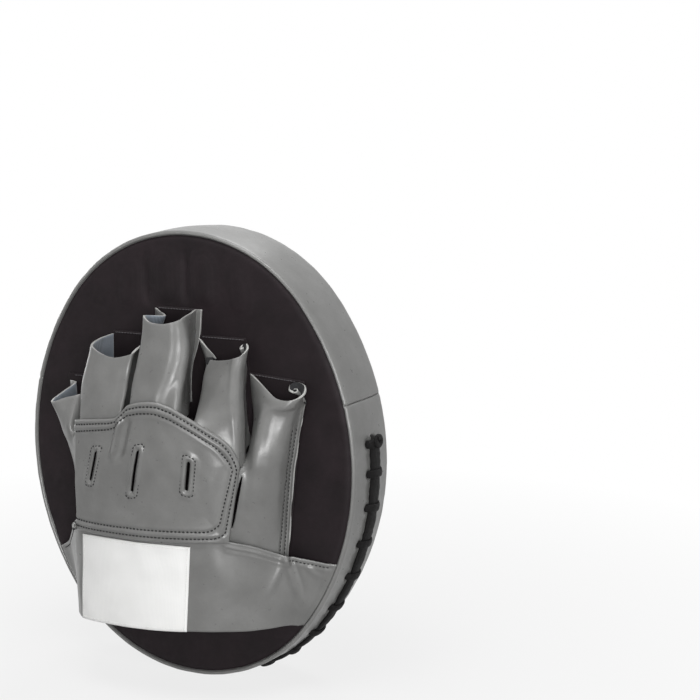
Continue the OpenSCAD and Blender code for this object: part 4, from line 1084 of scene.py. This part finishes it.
LINING_ROWS, LINING_COLUMNS, LINING_LOW, LINING_RISE = 80, 190, -44.0, 0.75
xs = np.linspace(FOOT[0] - 2, FOOT[5] + 2, LINING_COLUMNS)
tops = MOUTH[4] + lerp(3.8, 1.6, (xs - FOOT[4]) / (FOOT[5] - FOOT[4]))
for k, over in ((3, 2.2), (2, 2.6), (1, 4.0), (0, 4.0)):
    tops = np.where(xs < FOOT[k + 1], MOUTH[k] + over, tops)
tops = np.convolve(np.pad(tops, 1, mode="edge"), [0.25, 0.5, 0.25], mode="valid")
x = np.tile(xs, (LINING_ROWS, 1))
z = lerp(tops[None], LINING_LOW, steps(LINING_ROWS)[:, None])
left, right = LEAN * (MOUTH[0] - z) * ease(-60, -78, x), -LEAN * (MOUTH[4] - z) * ease(60, 75, x)
lean = np.where(x < 0, left, right) * (z < 42)
lining = Grid(place(joined(x + lean, np.full(x.shape, LINING_RISE), z)))
lining.push(0.04 * waves(lining.p, 9, 98))
rows = []
for k in range(5):
    a, b = ((at - xs[0]) / (xs[-1] - xs[0]) for at in (FOOT[k] + 2.5, FOOT[k + 1] - 2.5))
    rows.append(lining.inset("top", 1.0, a, b))
threads = stitches("lining_stitches", lining, rows, "pale_thread", 1.9, 1.8, 0.24, 0.08, 99)
sheet_piece(
    "palm_lining_cloth", lining, ["lining"] * 3, "palm_lining", "black_nylon", "laid", ["back_face"], [threads],
    thickness=0.6)


# Stage, light and camera, in metres

WHITE = (1, 1, 1, 1)
FLOOR_HALF, FLOOR_GREY = 6.0, 0.45
LENS, SENSOR = 80.47, 36
CAMERA_AT, CAMERA_WAY = (0.45684, -0.74842, 0.32992), (-0.43238, 0.88652, -0.16470)


def add_object(name, data, at=(0, 0, 0), way=None):
    obj = bpy.data.objects.new(name, data)
    obj.location = at
    if way is not None:
        obj.rotation_euler = Vector(way).to_track_quat("-Z", "Y").to_euler()
    bpy.context.collection.objects.link(obj)
    return obj


def area_light(name, at, to, size, power):
    data = bpy.data.lights.new(name, "AREA")
    data.shape = "RECTANGLE"
    data.size, data.size_y = size
    data.energy = power
    add_object(name, data, at, Vector(to) - Vector(at))


# The floor shows white away from the mitt. Near it, painted shade fades it to a soft grey, mixed with the lamps'
# own shadows on it
n = Nodes("floor_white")
shader = n.tree.nodes["Principled BSDF"]
n.feed(shader.inputs["Base Color"], (FLOOR_GREY, FLOOR_GREY, FLOOR_GREY, 1))
n.feed(shader.inputs["Roughness"], 0.9)
away = n.add("ShaderNodeVectorMath", n.place, operation="LENGTH").outputs["Value"]
share = n.math("MULTIPLY", n.shown(), n.spread(away, 0.12, 0.5, 0.8, 1.0))
n.output("Material Output", share, shader.outputs[0], n.add("ShaderNodeEmission", WHITE).outputs[0])
mesh = bpy.data.meshes.new("floor")
corners = [(x * FLOOR_HALF, y * FLOOR_HALF, 0) for x, y in ((-1, -1), (1, -1), (1, 1), (-1, 1))]
mesh.from_pydata(corners, [], [(0, 1, 2, 3)])
mesh.materials.append(n.block)
add_object("floor", mesh)

area_light("top", (0.1, -0.3, 1.0), (0, -0.02, 0.14), (0.5, 0.4), 6.1)
area_light("front", (0.95, -1.4, 0.37), (0, -0.02, 0.12), (0.45, 0.7), 18)
area_light("right", (1.5, -0.62, 0.38), (0, -0.04, 0.12), (0.14, 0.7), 2.5)
area_light("back", (-0.3, 1.1, 1.5), (0, 0, 0.12), (0.6, 0.6), 8)
area_light("left", (-1.5, 0.8, 0.4), (0, 0, 0.12), (0.6, 0.7), 7)

# The world gives a weak light and shows white
n = Nodes("surround", "worlds")
bpy.context.scene.world = n.block
weak = n.tree.nodes["Background"]
for socket, value in zip(weak.inputs, (WHITE, 0.1)):
    n.feed(socket, value)
n.output("World Output", n.shown(), weak.outputs[0], n.add("ShaderNodeBackground", WHITE, 1.0).outputs[0])

camera_data = bpy.data.cameras.new("camera")
camera_data.sensor_fit = "HORIZONTAL"
camera_data.sensor_width = SENSOR
camera_data.lens = LENS
bpy.context.scene.camera = add_object("camera", camera_data, CAMERA_AT, CAMERA_WAY)
bpy.context.scene.view_settings.view_transform = "Standard"
